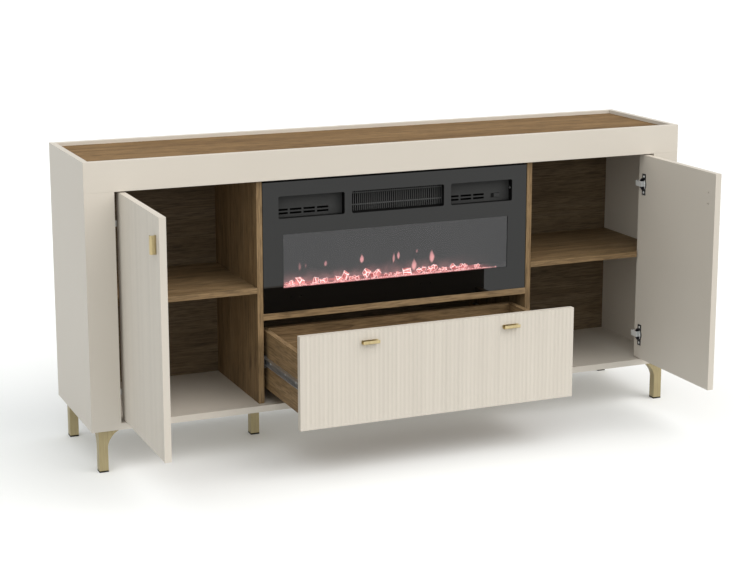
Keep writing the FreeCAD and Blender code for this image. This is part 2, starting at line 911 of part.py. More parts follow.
def drawer_box():
    """Two grooved sides and a back round a thin sliding floor."""
    inner = box_half - d.drawer_board
    floor_low = box_low + d.drawer_floor_rise
    floor_high = floor_low + d.drawer_floor
    y = (drawer_inner_y, box_back)
    groove_z = (floor_low - d.groove_play, floor_high + d.groove_play)
    for name, sign in SIDES.items():
        board = box(span(sign, inner, box_half), y, (box_low, box_high))
        groove = box(span(sign, inner, inner + d.drawer_groove), y, groove_z)
        node(cut(board, groove), "drawer_%s_side" % name)
    back_y = (box_back - d.drawer_board, box_back)
    node(box((-inner, inner), back_y, (floor_high, box_high)), "drawer_back")
    edge = inner + d.drawer_groove - d.groove_play
    node(box((-edge, edge), y, (floor_low, floor_high)), "drawer_bottom")


def channel(near, far, height, lip, gauge):
    """Section of a rolled runner member: web at near, lips reaching to far."""
    web = near + gauge if far.value > near.value else near - gauge
    low = runner_z - height / 2
    high = runner_z + height / 2
    points = [(near, low), (far, low), (far, low + lip), (web, low + lip)]
    points += [(web, high - lip), (far, high - lip), (far, high), (near, high)]
    return points


cage_near = niche - d.runner_web - d.runner_play
cage_far = niche - d.runner_reach + d.runner_play
slide_far = cage_near - d.cage_gauge - d.runner_play


def runner(name, sign):
    """Channel on the divider, slimmer channel on the drawer and a cage of balls between."""
    fixed = channel(niche, niche - d.runner_reach, d.runner_height, d.runner_lip, d.runner_web)
    slide = channel(box_half, slide_far, d.slide_height, d.runner_web, d.runner_web)
    members = {"cabinet": (fixed, runner_front), "drawer": (slide, runner_front - drawer_pull)}
    for member, (section, start) in members.items():
        body = new_body()
        pad(body, outline(new_sketch(body, "XZ", start), mirrored(sign, section)), runner_length)
        node(body, "%s_runner_%s" % (name, member))
    node(ball_cage(sign), name + "_runner_cage")


def ball_cage(sign):
    """Bent strip with two rows of balls, as long as the channels still overlap."""
    track = (d.runner_height - d.runner_lip * 2 - d.slide_height) / 2
    level = (d.slide_height + track) / 2
    start = runner_front + d.cage_end
    length = d.runner_overlap - d.cage_end * 2
    body = new_body()
    section = channel(cage_near, cage_far, level * 2 + d.cage_gauge, d.cage_gauge, d.cage_gauge)
    pad(body, outline(new_sketch(body, "XZ", start), mirrored(sign, section)), length)
    balls = []
    for row in (-1, 1):
        for i in range(BALLS_PER_ROW):
            ball = doc.addObject("Part::Sphere", "Ball")
            bind(ball, "Radius", track / 2 - d.ball_play)
            bind(ball, "Placement.Base.x", sign * (cage_near + cage_far) / 2)
            bind(ball, "Placement.Base.y", start + length * ((i + 0.5) / BALLS_PER_ROW))
            bind(ball, "Placement.Base.z", runner_z + row * level)
            balls.append(ball)
    return fuse(body, *balls)


# Fireplace insert


def front_glass():
    """Glass front with three rounded openings for the heater and its vents."""
    body = new_body()
    edge = niche - d.glass_play
    sheet_z = (glass_low, glass_high)
    pad(body, rectangle(new_sketch(body, "XZ", glass_front), (-edge, edge), sheet_z), d.glass)
    openings = new_sketch(body, "XZ", glass_front)
    for x in vents.values():
        rounded_rectangle(openings, x, (vent_low, vent_high), d.vent_corner)
    pocket(body, openings, d.glass, 1)
    node(body, "front_glass")


def fireplace_housing():
    """Sheet-metal case behind the glass, open at the window and the vents."""
    wall = d.housing_wall
    x = (-housing_half, housing_half)
    z = (insert_top, housing_high)
    case = box(x, (glass_back, housing_back), z)
    hollow_y = (lining, housing_back - wall)
    hollow = box((x[0] + wall, x[1] - wall), hollow_y, (z[0] + wall, z[1] - wall))
    margin = d.vent_margin
    front_y = (glass_back, lining)
    window_x = (-window_half - margin, window_half + margin)
    window = box(window_x, front_y, (window_low - margin, window_high + margin))
    vent_z = (vent_low - margin, vent_high + margin)
    mouths = [box((a - margin, b + margin), front_y, vent_z) for a, b in vents.values()]
    inlet_y = (housing_back - wall, housing_back)
    inlet = box((-d.vent_middle, d.vent_middle), inlet_y, vent_z)
    lead_hole = rod("Y", gland_centre(), d.gland_bore / 2, housing_back - wall, wall)
    node(cut(case, hollow, window, *mouths, inlet, lead_hole), "fireplace_housing")


def gland_centre():
    return (housing_half - d.gland_side, insert_top + d.gland_rise)


def cable_gland():
    """Round bush where the lead enters the back of the case."""
    shell = rod("Y", gland_centre(), d.gland_diameter / 2, housing_back, d.gland_length)
    bore = rod("Y", gland_centre(), d.gland_bore / 2, housing_back, d.gland_length)
    node(cut(shell, bore), "cable_gland")


def vent_panel(name, sign):
    """Shallow pan behind a side opening, pierced by two rows of louvres."""
    body = new_body()
    flange = d.pan_flange
    x = (vents[name][0] - flange, vents[name][1] + flange)
    z = (vent_low - flange, vent_high + flange)
    wall = d.sheet_metal
    pad(body, rectangle(new_sketch(body, "XZ", lining), x, z), d.pan_depth)
    dish = new_sketch(body, "XZ", lining)
    rectangle(dish, (x[0] + wall, x[1] - wall), (z[0] + wall, z[1] - wall))
    pocket(body, dish, d.pan_depth - wall, 1)
    plate_y = lining + d.pan_depth - wall
    first = vents[name][0] + d.louvre_start
    for row in (0, 1):
        low = vent_low + d.louvre_rise + row * d.louvre_rows - d.louvre_height / 2
        slot = new_sketch(body, "XZ", plate_y)
        ends = (first - d.louvre_length / 2, first + d.louvre_length / 2)
        rectangle(slot, ends, (low, low + d.louvre_height))
        louvre = pocket(body, slot, wall, 1)
        repeat(body, louvre, "X", d.louvre_pitch, as_length(LOUVRE_COLUMNS[sign]))
    if sign > 0:
        rocker_seat(body, plate_y)
    node(body, name + "_vent_panel")


def rocker_place():
    """Middle of the switch: across, to the back and up."""
    pivot = lining + d.pan_depth + d.rocker_pivot
    return (vent_outer - d.rocker_side, pivot, vent_low + d.rocker_rise)


rocker_rise = d.rocker_height / 2 + d.rocker_play
rocker_end = rocker_rise + d.sheet_metal


def rocker_seat(body, plate_y):
    """Opening for the rocker, and two ears behind the plate that hold its pin."""
    x, pivot, z = rocker_place()
    reach = d.rocker_width / 2 + d.rocker_play
    mouth = new_sketch(body, "XZ", plate_y)
    rectangle(mouth, (x - reach, x + reach), (z - rocker_rise, z + rocker_rise))
    pocket(body, mouth, d.sheet_metal, 1)
    for low in (z - rocker_end, z + rocker_rise):
        ear = new_sketch(body, "XY", low)
        rectangle(ear, (x - d.rocker_pin, x + d.rocker_pin), (plate_y, pivot + d.rocker_pin))
        pad(body, ear, d.sheet_metal)
    bore = circle(new_sketch(body, "XY", z - rocker_end), x, pivot, shaft_bore(d.rocker_pin))
    pocket(body, bore, rocker_end * 2, 1)


def power_rocker():
    """Rocker with two slanted faces on a pin, its left end pressed in."""
    body = new_body()
    reach = d.rocker_width / 2
    tip = -(d.sheet_metal + d.rocker_pivot + d.rocker_stand)
    points = [(-reach, tip), (0, tip + d.rocker_dip), (reach, tip)]
    points += [(reach, d.rocker_tail), (-reach, d.rocker_tail)]
    pad(body, outline(new_sketch(body, "XY", -d.rocker_height / 2), points), d.rocker_height)
    pad(body, circle(new_sketch(body, "XY", -rocker_end), 0, 0, d.rocker_pin / 2), rocker_end * 2)
    turn = FreeCAD.Rotation(FreeCAD.Vector(0, 0, -1), d.rocker_tilt.value)
    body.Placement = FreeCAD.Placement(FreeCAD.Vector(), turn)
    bind(body, "Placement.Rotation.Angle", d.rocker_tilt)
    for axis, place in zip("xyz", rocker_place()):
        bind(body, "Placement.Base." + axis, place)
    node(body, "power_rocker")


# Flame works behind the window

tray_y = lining + d.tray_front
tray_floor = insert_top + d.housing_wall
tray_top = tray_floor + d.tray_height
tray_half = housing_half - d.tray_end_play
screen_y = tray_y + d.ledge_depth + d.screen_gap
tray_back = housing_back - d.housing_wall - d.tray_back_gap
spinner_y = tray_back - d.spinner_back
spinner_z = tray_floor + d.spinner_rise


def ember_tray():
    """Folded sheet with a ledge for the embers and end cheeks that carry the spinner."""
    body = new_body()
    metal = d.sheet_metal
    ledge = tray_y + d.ledge_depth
    points = [(tray_y, tray_floor), (tray_back, tray_floor), (tray_back, tray_floor + metal)]
    points += [(tray_y + metal, tray_floor + metal), (tray_y + metal, tray_top - metal)]
    points += [(ledge, tray_top - metal), (ledge, tray_top), (tray_y, tray_top)]
    pad(body, outline(new_sketch(body, "YZ", -tray_half), points), tray_half * 2)
    hub = d.spinner_motor / 2
    for start in (-tray_half, tray_half - metal):
        cheek = new_sketch(body, "YZ", start)
        rectangle(cheek, (spinner_y - hub, tray_back), (tray_floor, spinner_z + hub))
        pad(body, cheek, metal)
    bore = circle(new_sketch(body, "YZ", tray_half), spinner_y, spinner_z, shaft_bore(d.spinner_rod))
    pocket(body, bore, metal, -1)
    node(body, "ember_tray")


def shaft_bore(diameter):
    return diameter / 2 + d.shaft_fit


def ember_crystals():
    """Two rows of cut glass lumps, no two neighbours alike, on the tray's ledge."""
    per_row = int(2 * window_half.value // d.crystal_pitch.value)
    lumps = []
    for row in (0, 1):
        y = tray_y + d.ledge_depth * (0.3 + 0.42 * row)
        for i in range(per_row):
            lump = doc.addObject("Part::Wedge", "Crystal")
            tall = d.crystal_height * (0.7 + 0.3 * math.sin(2.4 * i + 1.7 * row))
            reach = d.crystal_base / 2
            top = d.crystal_base * (0.2 + 0.08 * math.cos(1.9 * i + row))
            sides = {"Xmin": -reach, "Xmax": reach, "Zmin": -reach, "Zmax": reach, "Ymin": 0}
            sides.update({"X2min": -top, "X2max": top, "Z2min": -top, "Z2max": top, "Ymax": tall})
            for side, length in sides.items():
                bind(lump, side, length)
            upright = FreeCAD.Rotation(FreeCAD.Vector(1, 0, 0), 90)
            spin = FreeCAD.Rotation(FreeCAD.Vector(0, 0, 1), 37 * i + 61 * row)
            lump.Placement = FreeCAD.Placement(FreeCAD.Vector(), spin * upright)
            bind(lump, "Placement.Base.x", d.crystal_pitch * (i - (per_row - 1) / 2))
            bind(lump, "Placement.Base.y", y)
            bind(lump, "Placement.Base.z", tray_top)
            lumps.append(lump)
    group("ember_crystals", lumps)


def flame_screen():
    """Frosted sheet that the moving light falls on."""
    x = (-(tray_half - d.screen), tray_half - d.screen)
    low = tray_floor + d.sheet_metal
    z = (low, window_high + d.screen_margin)
    node(box(x, (screen_y, screen_y + d.screen), z), "flame_screen")


def flame_spinner():
    """Rod with bright flags set crosswise in turn, which makes the light flicker."""
    body = new_body()
    start = -(tray_half - d.sheet_metal - d.spinner_motor_length / 2)
    shaft = circle(new_sketch(body, "YZ", start), spinner_y, spinner_z, d.spinner_rod / 2)
    pad(body, shaft, tray_half - start)
    reach = d.spinner_flag
    metal = d.sheet_metal / 2
    count = whole((tray_half * 2 - d.spinner_motor_length * 3) / d.spinner_pitch / 2)
    first = -(count * d.spinner_pitch) + d.spinner_pitch / 2
    for turn in (0, 1):
        flag = new_sketch(body, "YZ", first + turn * d.spinner_pitch)
        wide, tall = (reach, metal) if turn == 0 else (metal, reach)
        rectangle(flag, (spinner_y - wide, spinner_y + wide), (spinner_z - tall, spinner_z + tall))
        blade = pad(body, flag, d.spinner_pitch * 0.6)
        repeat(body, blade, "X", d.spinner_pitch * 2, count)
    node(body, "flame_spinner")


def spinner_motor():
    """Small synchronous motor on the left cheek, with a bore for the rod's end."""
    start = -(tray_half - d.sheet_metal)
    centre = (spinner_y, spinner_z)
    can = rod("X", centre, d.spinner_motor / 2, start, d.spinner_motor_length)
    bore = rod("X", centre, shaft_bore(d.spinner_rod), start, d.spinner_motor_length)
    node(cut(can, bore), "spinner_motor")


def light_strip():
    """Strip of small lamps under the ember ledge."""
    under = tray_top - d.sheet_metal
    middle = tray_y + d.ledge_depth / 2
    y = (middle - d.light_strip_width / 2, middle + d.light_strip_width / 2)
    x = (-window_half, window_half)
    node(box(x, y, (under - d.light_strip_gauge, under)), "light_strip")


# Fan heater behind the grille

duct_low = vent_low - d.vent_margin - d.sheet_metal
duct_high = vent_high + d.vent_margin + d.sheet_metal
duct_half = d.vent_middle + d.vent_margin + d.sheet_metal
duct_back = housing_back - d.housing_wall - d.duct_back_gap
fan_half = duct_half - d.fan_end_gap
fan_y = duct_back - d.fan_back
fan_z = (duct_low + duct_high) / 2


def heater_duct():
    """Open-ended sheet duct that carries the grille, the element and the fan."""
    metal = d.sheet_metal
    y = (lining, duct_back)
    shell = box((-duct_half, duct_half), y, (duct_low, duct_high))
    inner_x = (-duct_half + metal, duct_half - metal)
    inner = box(inner_x, y, (duct_low + metal, duct_high - metal))
    shaft_way = rod("X", (fan_y, fan_z), shaft_bore(d.fan_shaft), -duct_half, duct_half * 2)
    node(cut(shell, inner, shaft_way), "heater_duct")


def heater_grille():
    """Plate of upright bars with two cross bars behind, set back in the duct's mouth."""
    body = new_body()
    metal = d.sheet_metal
    edge = duct_half - metal
    front = lining + d.grille_setback
    plate_z = (duct_low + metal, duct_high - metal)
    pad(body, rectangle(new_sketch(body, "XZ", front), (-edge, edge), plate_z), d.grille_gauge)
    count = whole((d.vent_middle * 2 - d.grille_slot) / d.grille_pitch) + 1
    first = -((count - 1) * d.grille_pitch / 2)
    slot = new_sketch(body, "XZ", front)
    x = (first - d.grille_slot / 2, first + d.grille_slot / 2)
    rectangle(slot, x, (vent_low + d.grille_bar / 2, vent_high - d.grille_bar / 2))
    repeat(body, pocket(body, slot, d.grille_gauge, 1), "X", d.grille_pitch, count)
    for level in (d.grille_bar_low, d.grille_bar_high):
        bar = new_sketch(body, "XZ", front + d.grille_gauge)
        bar_z = (vent_low + level, vent_low + level + d.grille_bar)
        rectangle(bar, (-d.vent_middle, d.vent_middle), bar_z)
        pad(body, bar, d.grille_gauge)
    node(body, "heater_grille")


def heating_element():
    """Block of upright fins across the duct."""
    body = new_body()
    metal = d.sheet_metal
    edge = duct_half - metal
    front = lining + d.element_gap
    z = (duct_low + metal, duct_high - metal)
    pad(body, rectangle(new_sketch(body, "XZ", front), (-edge, edge), z), d.element_depth)
    count = whole((edge * 2 - d.element_slot * 2) / d.element_pitch)
    first = -((count - 1) * d.element_pitch / 2)
    slot = new_sketch(body, "XZ", front)
    x = (first - d.element_slot / 2, first + d.element_slot / 2)
    rectangle(slot, x, (z[0] + d.element_pitch, z[1] - d.element_pitch))
    repeat(body, pocket(body, slot, d.element_depth, 1), "X", d.element_pitch, count)
    node(body, "heating_element")


def heater_fan():
    """Cross-flow wheel: a ring of slanted blades between two discs on a shaft."""
    body = new_body()
    axis = (fan_y, fan_z)
    start = -(duct_half + d.fan_motor_length / 2)
    shaft = circle(new_sketch(body, "YZ", start, axis), 0, 0, d.fan_shaft / 2)
    pad(body, shaft, duct_half - start)
    for level in (-fan_half, fan_half - d.fan_disc):
        disc = circle(new_sketch(body, "YZ", level, axis), 0, 0, d.fan_radius)
        pad(body, disc, d.fan_disc)
    blade = new_sketch(body, "YZ", -fan_half, axis)
    thick = d.fan_blade
    lean = d.fan_hub / 4
    tip = d.fan_radius - thick
    outline(blade, [(0, d.fan_hub), (thick, d.fan_hub), (thick + lean, tip), (lean, tip)])
    first = pad(body, blade, fan_half * 2)
    ring = body.newObject("PartDesign::PolarPattern", "Ring")
    ring.Originals = [first]
    ring.Axis = (blade, ["N_Axis"])
    ring.Angle = 360
    ring.Occurrences = FAN_BLADES
    body.Tip = ring
    node(body, "heater_fan")


def fan_motor():
    """Motor on the duct's left wall, bored for the fan's shaft."""
    start = -(duct_half + d.fan_motor_length)
    centre = (fan_y, fan_z)
    can = rod("X", centre, d.fan_motor / 2, start, d.fan_motor_length)
    bore = rod("X", centre, shaft_bore(d.fan_shaft), start, d.fan_motor_length)
    node(cut(can, bore), "fan_motor")


def build():
    for name, sign in SIDES.items():
        side_panel(name, sign)
        stile(name, sign)
        divider(name, sign)
        door_panel(name, sign)
        door_handle(name, sign)
        hinges(name, sign)
        runner(name, sign)
        vent_panel(name, sign)
    front_rail()
    bottom_panel()
    back_rim()
    shelves_and_top()
    back_panel()
    shelf_pins()
    legs()
    drawer_front()
    drawer_handles()
    drawer_box()
    front_glass()
    fireplace_housing()
    cable_gland()
    heater_grille()
    power_rocker()
    ember_tray()
    ember_crystals()
    flame_screen()
    flame_spinner()
    spinner_motor()
    light_strip()
    heater_duct()
    heating_element()
    heater_fan()
    fan_motor()
    doc.recompute()


def export():
    """Check every object and write one file per node."""
    for thing in doc.Objects:
        if any(word in ("Invalid", "Error") for word in thing.State):
            raise RuntimeError("%s (%s) failed: %s" % (thing.Name, thing.Label, thing.State))
    for thing in nodes:
        if thing.Shape.isNull() or not thing.Shape.isValid():
            raise RuntimeError("%s has no valid shape" % thing.Label)
    os.makedirs("parts", exist_ok=True)
    for thing in nodes:
        thing.Shape.exportStep("parts/%s.step" % thing.Label)
        print("%-22s %d solids %12.1f mm3" % (thing.Label, len(thing.Shape.Solids), thing.Shape.Volume))


build()
export()
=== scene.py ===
# %% [markdown]
# # A fireplace TV stand, dressed around its CAD frame
# The real object is a long, low cabinet of cream lacquered boards, with an oak top and oak insides,
# two fluted doors, a drawer on ball runners, slim gold legs and an electric fireplace in the middle.
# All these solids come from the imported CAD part. They could be modelled again here, but then every
# hinge and runner would have to be fitted twice, so the CAD nodes stay where they are. This lesson
# adds what CAD leaves open: the finishes, the cut crystals, the small screws, the light and the
# camera.

import math
import random

import bpy
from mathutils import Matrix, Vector


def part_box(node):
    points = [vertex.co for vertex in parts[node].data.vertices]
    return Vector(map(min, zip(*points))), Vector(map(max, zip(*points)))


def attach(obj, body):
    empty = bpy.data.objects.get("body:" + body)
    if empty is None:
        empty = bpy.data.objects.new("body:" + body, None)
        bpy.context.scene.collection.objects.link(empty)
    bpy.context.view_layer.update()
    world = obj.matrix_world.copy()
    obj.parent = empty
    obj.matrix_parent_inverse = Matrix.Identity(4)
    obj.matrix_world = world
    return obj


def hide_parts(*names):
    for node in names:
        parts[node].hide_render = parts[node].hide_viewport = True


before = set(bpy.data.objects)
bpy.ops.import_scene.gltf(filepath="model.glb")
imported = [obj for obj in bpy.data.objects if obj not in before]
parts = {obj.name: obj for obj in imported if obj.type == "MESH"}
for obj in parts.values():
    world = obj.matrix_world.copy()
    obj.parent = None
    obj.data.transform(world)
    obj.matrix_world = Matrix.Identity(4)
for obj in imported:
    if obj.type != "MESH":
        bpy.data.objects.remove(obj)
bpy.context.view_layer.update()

# %% [markdown]
# ## Finishes
# No finish on a real cabinet is one flat colour: lacquer clouds a little, oak has a grain, metal has
# fine streaks. A painted picture could be wrapped round each piece, but a tree of shader nodes needs
# no picture and stays sharp at any distance, so every finish here is such a tree. `put` adds one
# node and sets or wires its inputs, so that a recipe reads from top to bottom. Patterns are placed
# by object coordinates, which on these pieces are metres in the cabinet's own frame.

# %% Add a node, start a material


def put(tree, kind, inputs=None, **settings):
    """Add a node; an input is either a plain value or another node's output."""
    made = tree.nodes.new(kind)
    for name, value in settings.items():
        setattr(made, name, value)
    for name, value in (inputs or {}).items():
        if isinstance(value, bpy.types.NodeSocket):
            tree.links.new(value, made.inputs[name])
        else:
            made.inputs[name].default_value = value
    return made


def object_place(tree):
    """The place of each point in the cabinet's frame, in metres."""
    return put(tree, "ShaderNodeTexCoord").outputs["Object"]


def new_material(name):
    """A new material, its node tree, its shader, and the places to paint with."""
    made = bpy.data.materials.new(name)
    made.use_nodes = True
    tree = made.node_tree
    return made, tree, tree.nodes["Principled BSDF"], object_place(tree)


print("helpers for nodes:", [helper.__name__ for helper in (put, object_place, new_material)])

# %% [markdown]
# ### Patterns
# What makes a surface look real is a small, uneven change across it. Such a change could come from
# many kinds of texture node. One kind, noise, is enough for this cabinet: stretched along one axis it
# becomes grain or brushing, and left round it becomes a cloud. A ramp then turns the pattern into
# colours, and a range node turns it into a gloss or a mask.

# %% Noise, ramps and ranges

DARK_AT, LIGHT_AT = 0.3, 0.7


def stretched(tree, place, scale, shift=(0, 0, 0)):
    """Places scaled along each axis, so that a pattern can run one way."""
    values = {"Vector": place, "Scale": scale, "Location": shift}
    return put(tree, "ShaderNodeMapping", values).outputs["Vector"]


def noise(tree, where, scale, detail=4.0, rough=0.5, bend=0.0):
    """A cloudy pattern of values between 0 and 1."""
    values = {"Vector": where, "Scale": scale, "Detail": detail, "Roughness": rough}
    values["Distortion"] = bend
    return put(tree, "ShaderNodeTexNoise", values).outputs["Fac"]


def ramp(tree, factor, stops):
    """Colours at given places along 0 to 1."""
    made = put(tree, "ShaderNodeValToRGB", {"Fac": factor})
    while len(made.color_ramp.elements) < len(stops):
        made.color_ramp.elements.new(0.5)
    for stop, (at, colour) in zip(made.color_ramp.elements, stops):
        stop.position = at
        stop.color = (*colour, 1)
    return made.outputs["Color"]


def shades(tree, cloud, dark, light):
    """Two shades, from the low and the high values of a cloud."""
    return ramp(tree, cloud, [(DARK_AT, dark), (LIGHT_AT, light)])


def span(tree, value, start, end, low=0.0, high=1.0, smooth=True):
    """Carry a value from one range to another."""
    values = {"Value": value, "From Min": start, "From Max": end, "To Min": low, "To Max": high}
    kind = "SMOOTHSTEP" if smooth else "LINEAR"
    return put(tree, "ShaderNodeMapRange", values, interpolation_type=kind).outputs["Result"]


print("a cloud's shades lie between", DARK_AT, "and", LIGHT_AT)

# %% [markdown]
# ### Cream lacquer
# The outer boards have a satin cream lacquer. It is even, but over a long board its tone and its
# gloss drift a little. One colour with one gloss would be quicker, but it looks like plastic, so a
# slow cloud mixes two close creams and two close degrees of gloss. The same recipe, with other
# colours, serves every plain metal and plastic further down.

# %% A finish that drifts


def tinted(name, dark, light, scale, rough, metal=0.0, stretch=(1, 1, 1), sheen=0.5):
    """A plain finish whose colour and gloss drift a little across the surface."""
    made, tree, shader, place = new_material(name)
    cloud = noise(tree, stretched(tree, place, stretch), scale)
    tree.links.new(shades(tree, cloud, dark, light), shader.inputs["Base Color"])
    gloss = span(tree, cloud, 0.0, 1.0, *rough, smooth=False)
    tree.links.new(gloss, shader.inputs["Roughness"])
    shader.inputs["Metallic"].default_value = metal
    shader.inputs["Specular IOR Level"].default_value = sheen
    return made


DARK_CREAM, LIGHT_CREAM = (0.590, 0.538, 0.473), (0.610, 0.558, 0.493)
CREAM = {"dark": DARK_CREAM, "light": LIGHT_CREAM, "scale": 3.0, "rough": (0.40, 0.48)}
lacquer = tinted("cream_lacquer", **CREAM)
print("outer boards:", lacquer.name)

# %% [markdown]
# ### Masks
# Some pieces have more than one finish: a front is fluted on one side only, and a glass is printed
# round a clear window. Such a piece could be cut up, or its faces could be given materials one by
# one, but the CAD meshes stay as they are. So a mask is worked out inside the material instead: a
# place is split into X, Y and Z, a little arithmetic on them gives 0 or 1, and a mix node blends two
# colours by it.

# %% Arithmetic and blending


def grey(value):
    return (value, value, value)


def math_node(tree, operation, a, b=0.0):
    """One step of arithmetic on numbers or on other nodes' outputs."""
    return put(tree, "ShaderNodeMath", {0: a, 1: b}, operation=operation).outputs["Value"]


def mix(tree, factor, a, b, blend="MIX"):
    """Blend colour b over colour a."""
    made = put(tree, "ShaderNodeMix", data_type="RGBA", blend_type=blend)
    for socket, value in zip((made.inputs[0], made.inputs[6], made.inputs[7]), (factor, a, b)):
        if isinstance(value, bpy.types.NodeSocket):
            tree.links.new(value, socket)
        else:
            socket.default_value = value if isinstance(value, float) else (*value, 1)
    return made.outputs[2]


def split(tree, place):
    """The X, Y and Z of a place, as three outputs."""
    return put(tree, "ShaderNodeSeparateXYZ", {"Vector": place}).outputs


print("helpers for masks:", [helper.__name__ for helper in (grey, math_node, mix, split)])

# %% [markdown]
# ### Fluted fronts
# The doors and the drawer front have narrow upright coves on their outer side. The coves are in the
# CAD solids, and from far away they run together. Each cove could be coloured by hand so that they
# read better. A noise that is stretched far along the uprights does that in one node, because it
# changes from cove to cove but hardly along one. Its darker and lighter stripes are painted shade
# and painted light for the coves, a little lighter on the whole. It is let in only near the fluted
# side, so the plain inner faces keep the plain lacquer.

# %% Lacquer on the flutes

FLUTED_SKIN, SKIN_BLEND = 0.0015, 0.0001
COVE_SHADE, COVE_LIGHT = 0.965, 1.05
COVE_SCALE, COVE_STRETCH = 45.0, (1, 1, 0.02)


def lacquer_with_cove_shade(name, axis, outer):
    """The same lacquer, with painted shade and light that drift from cove to cove on the fluted side.
    """
    made = tinted(name, **CREAM)
    tree = made.node_tree
    paint = tree.nodes["Principled BSDF"].inputs["Base Color"]
    place = object_place(tree)
    out = math_node(tree, "ABSOLUTE", split(tree, place)[axis])
    start = outer - FLUTED_SKIN
    fluted = span(tree, out, start - SKIN_BLEND, start + SKIN_BLEND)
    # Painted shade and light: stripes that drift across the coves.
    coves = noise(tree, stretched(tree, place, COVE_STRETCH), COVE_SCALE, 2.0, 0.6)
    tone = shades(tree, coves, grey(COVE_SHADE), grey(COVE_LIGHT))
    tree.links.new(mix(tree, fluted, paint.links[0].from_socket, tone, "MULTIPLY"), paint)
    return made


door_lacquer = lacquer_with_cove_shade("door_lacquer", "X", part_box("right_door_panel")[1].x)
drawer_lacquer = lacquer_with_cove_shade("drawer_lacquer", "Y", -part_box("drawer_front")[0].y)
print("fluted fronts:", [made.name for made in (door_lacquer, drawer_lacquer)])

# %% [markdown]
# ### Oak
# The top, the shelves, the dividers and the drawer's box are oak, with the grain along each board. A
# wave texture is the usual start for wood, but it makes rings that repeat. Here the wood is built up
# as it looks close by: a ground of three browns, and over it layers of marks, each of which darkens
# what lies below. Dark marks on light wood are multiplied in, because a multiplied layer can't
# lighten the ground by much. A bump lets the pores dent the surface.

# %% Marks in the wood

MARK_TINT, MARK_BLEND, UNMARKED = (1.0, 0.97, 0.94), 0.22, 1.06


def bump(tree, shader, height, strength, distance):
    """Let a pattern dent the surface."""
    values = {"Height": height, "Strength": strength, "Distance": distance}
    tree.links.new(put(tree, "ShaderNodeBump", values).outputs["Normal"], shader.inputs["Normal"])


def darkened(tree, base, marks, factor, start, dark):
    """Darken a wood colour where a pattern of marks is low."""
    mark = [tint * dark for tint in MARK_TINT]
    stops = [(start, mark), (start + MARK_BLEND, grey(UNMARKED))]
    return mix(tree, factor, base, ramp(tree, marks, stops), "MULTIPLY")


print("helpers for wood:", [helper.__name__ for helper in (bump, darkened)])

# %% [markdown]
# ### Grain
# A broad figure runs along the grain, with streaks, short dashes, pores and a few knots in it. Each
# is a noise that is fine across the grain and coarse along it. The grain runs along the top, up the
# dividers and from front to back on the drawer's sides. Each direction could have a recipe of its
# own, but squeezing the coordinates along another axis turns the whole pattern, so one recipe serves
# every board. On the top the three browns are made a little darker and redder, as painted shade: it
# holds back the stronger light and the pale sheen that fall on the top.

# %% The oak recipe

OAK_BROWNS = [
    (0.28, (0.180, 0.108, 0.048)),
    (0.50, (0.262, 0.167, 0.080)),
    (0.72, (0.325, 0.216, 0.114)),
]


def oak(name, axis, tone=(0.94, 0.97, 1.02), sheen=0.25):
    """Oak board with its grain along axis 0, 1 or 2; the tone tints or darkens its browns."""
    made, tree, shader, place = new_material(name)

    def along(fine, coarse):
        scale = [fine, fine, fine]
        scale[axis] = coarse
        return stretched(tree, place, scale, (1.3, 0.6 + axis, 0.2))

    figure = noise(tree, along(17.0, 0.9), 1.0, 4.0, 0.6, 1.2)
    streaks = noise(tree, along(130.0, 5.0), 1.0, 5.0, 0.65, 0.5)
    dashes = noise(tree, along(260.0, 18.0), 1.0, 3.0, 0.7)
    pores = noise(tree, along(520.0, 12.0), 1.0, 2.0, 0.5)
    knots = noise(tree, along(48.0, 9.0), 1.0, 2.0, 0.5, 0.8)
    stained = [(at, [t * c for t, c in zip(tone, brown)]) for at, brown in OAK_BROWNS]
    base = ramp(tree, figure, stained)
    base = darkened(tree, base, streaks, factor=0.65, start=0.30, dark=0.58)
    base = darkened(tree, base, dashes, factor=0.8, start=0.34, dark=0.50)
    base = darkened(tree, base, pores, factor=0.5, start=0.32, dark=0.55)
    base = darkened(tree, base, knots, factor=0.8, start=0.20, dark=0.25)
    tree.links.new(base, shader.inputs["Base Color"])
    shader.inputs["Roughness"].default_value = 0.6
    shader.inputs["Specular IOR Level"].default_value = sheen
    bump(tree, shader, pores, strength=0.12, distance=0.0004)
    return made


ALONG, DEEP, UPRIGHT = 0, 1, 2
# The top's darker, redder tone is painted shade.
oak_top = oak("oak_top", ALONG, tone=(0.79, 0.73, 0.63), sheen=0.08)
oak_long = oak("oak_long", ALONG)
oak_deep = oak("oak_deep", DEEP)
oak_tall = oak("oak_tall", UPRIGHT)
print("oak boards:", [made.name for made in (oak_top, oak_long, oak_deep, oak_tall)])

# %% [markdown]
# ### The back sheet
# The bays are closed by a thin sheet that shows oak inside. The side that faces the wall is taken to
# be bare brown hardboard, as on most such cabinets. Two materials on one solid would mean picking
# faces of the CAD mesh, which has to stay as it is. So one material carries both looks, and the
# depth of a point tells it which one to show.

# %% Oak inside, bare board behind

BARE_SKIN, BARE_BLEND = 0.0010, 0.0002
BOARD_BROWNS = [(0.36, (0.115, 0.067, 0.037)), (0.64, (0.215, 0.137, 0.082))]


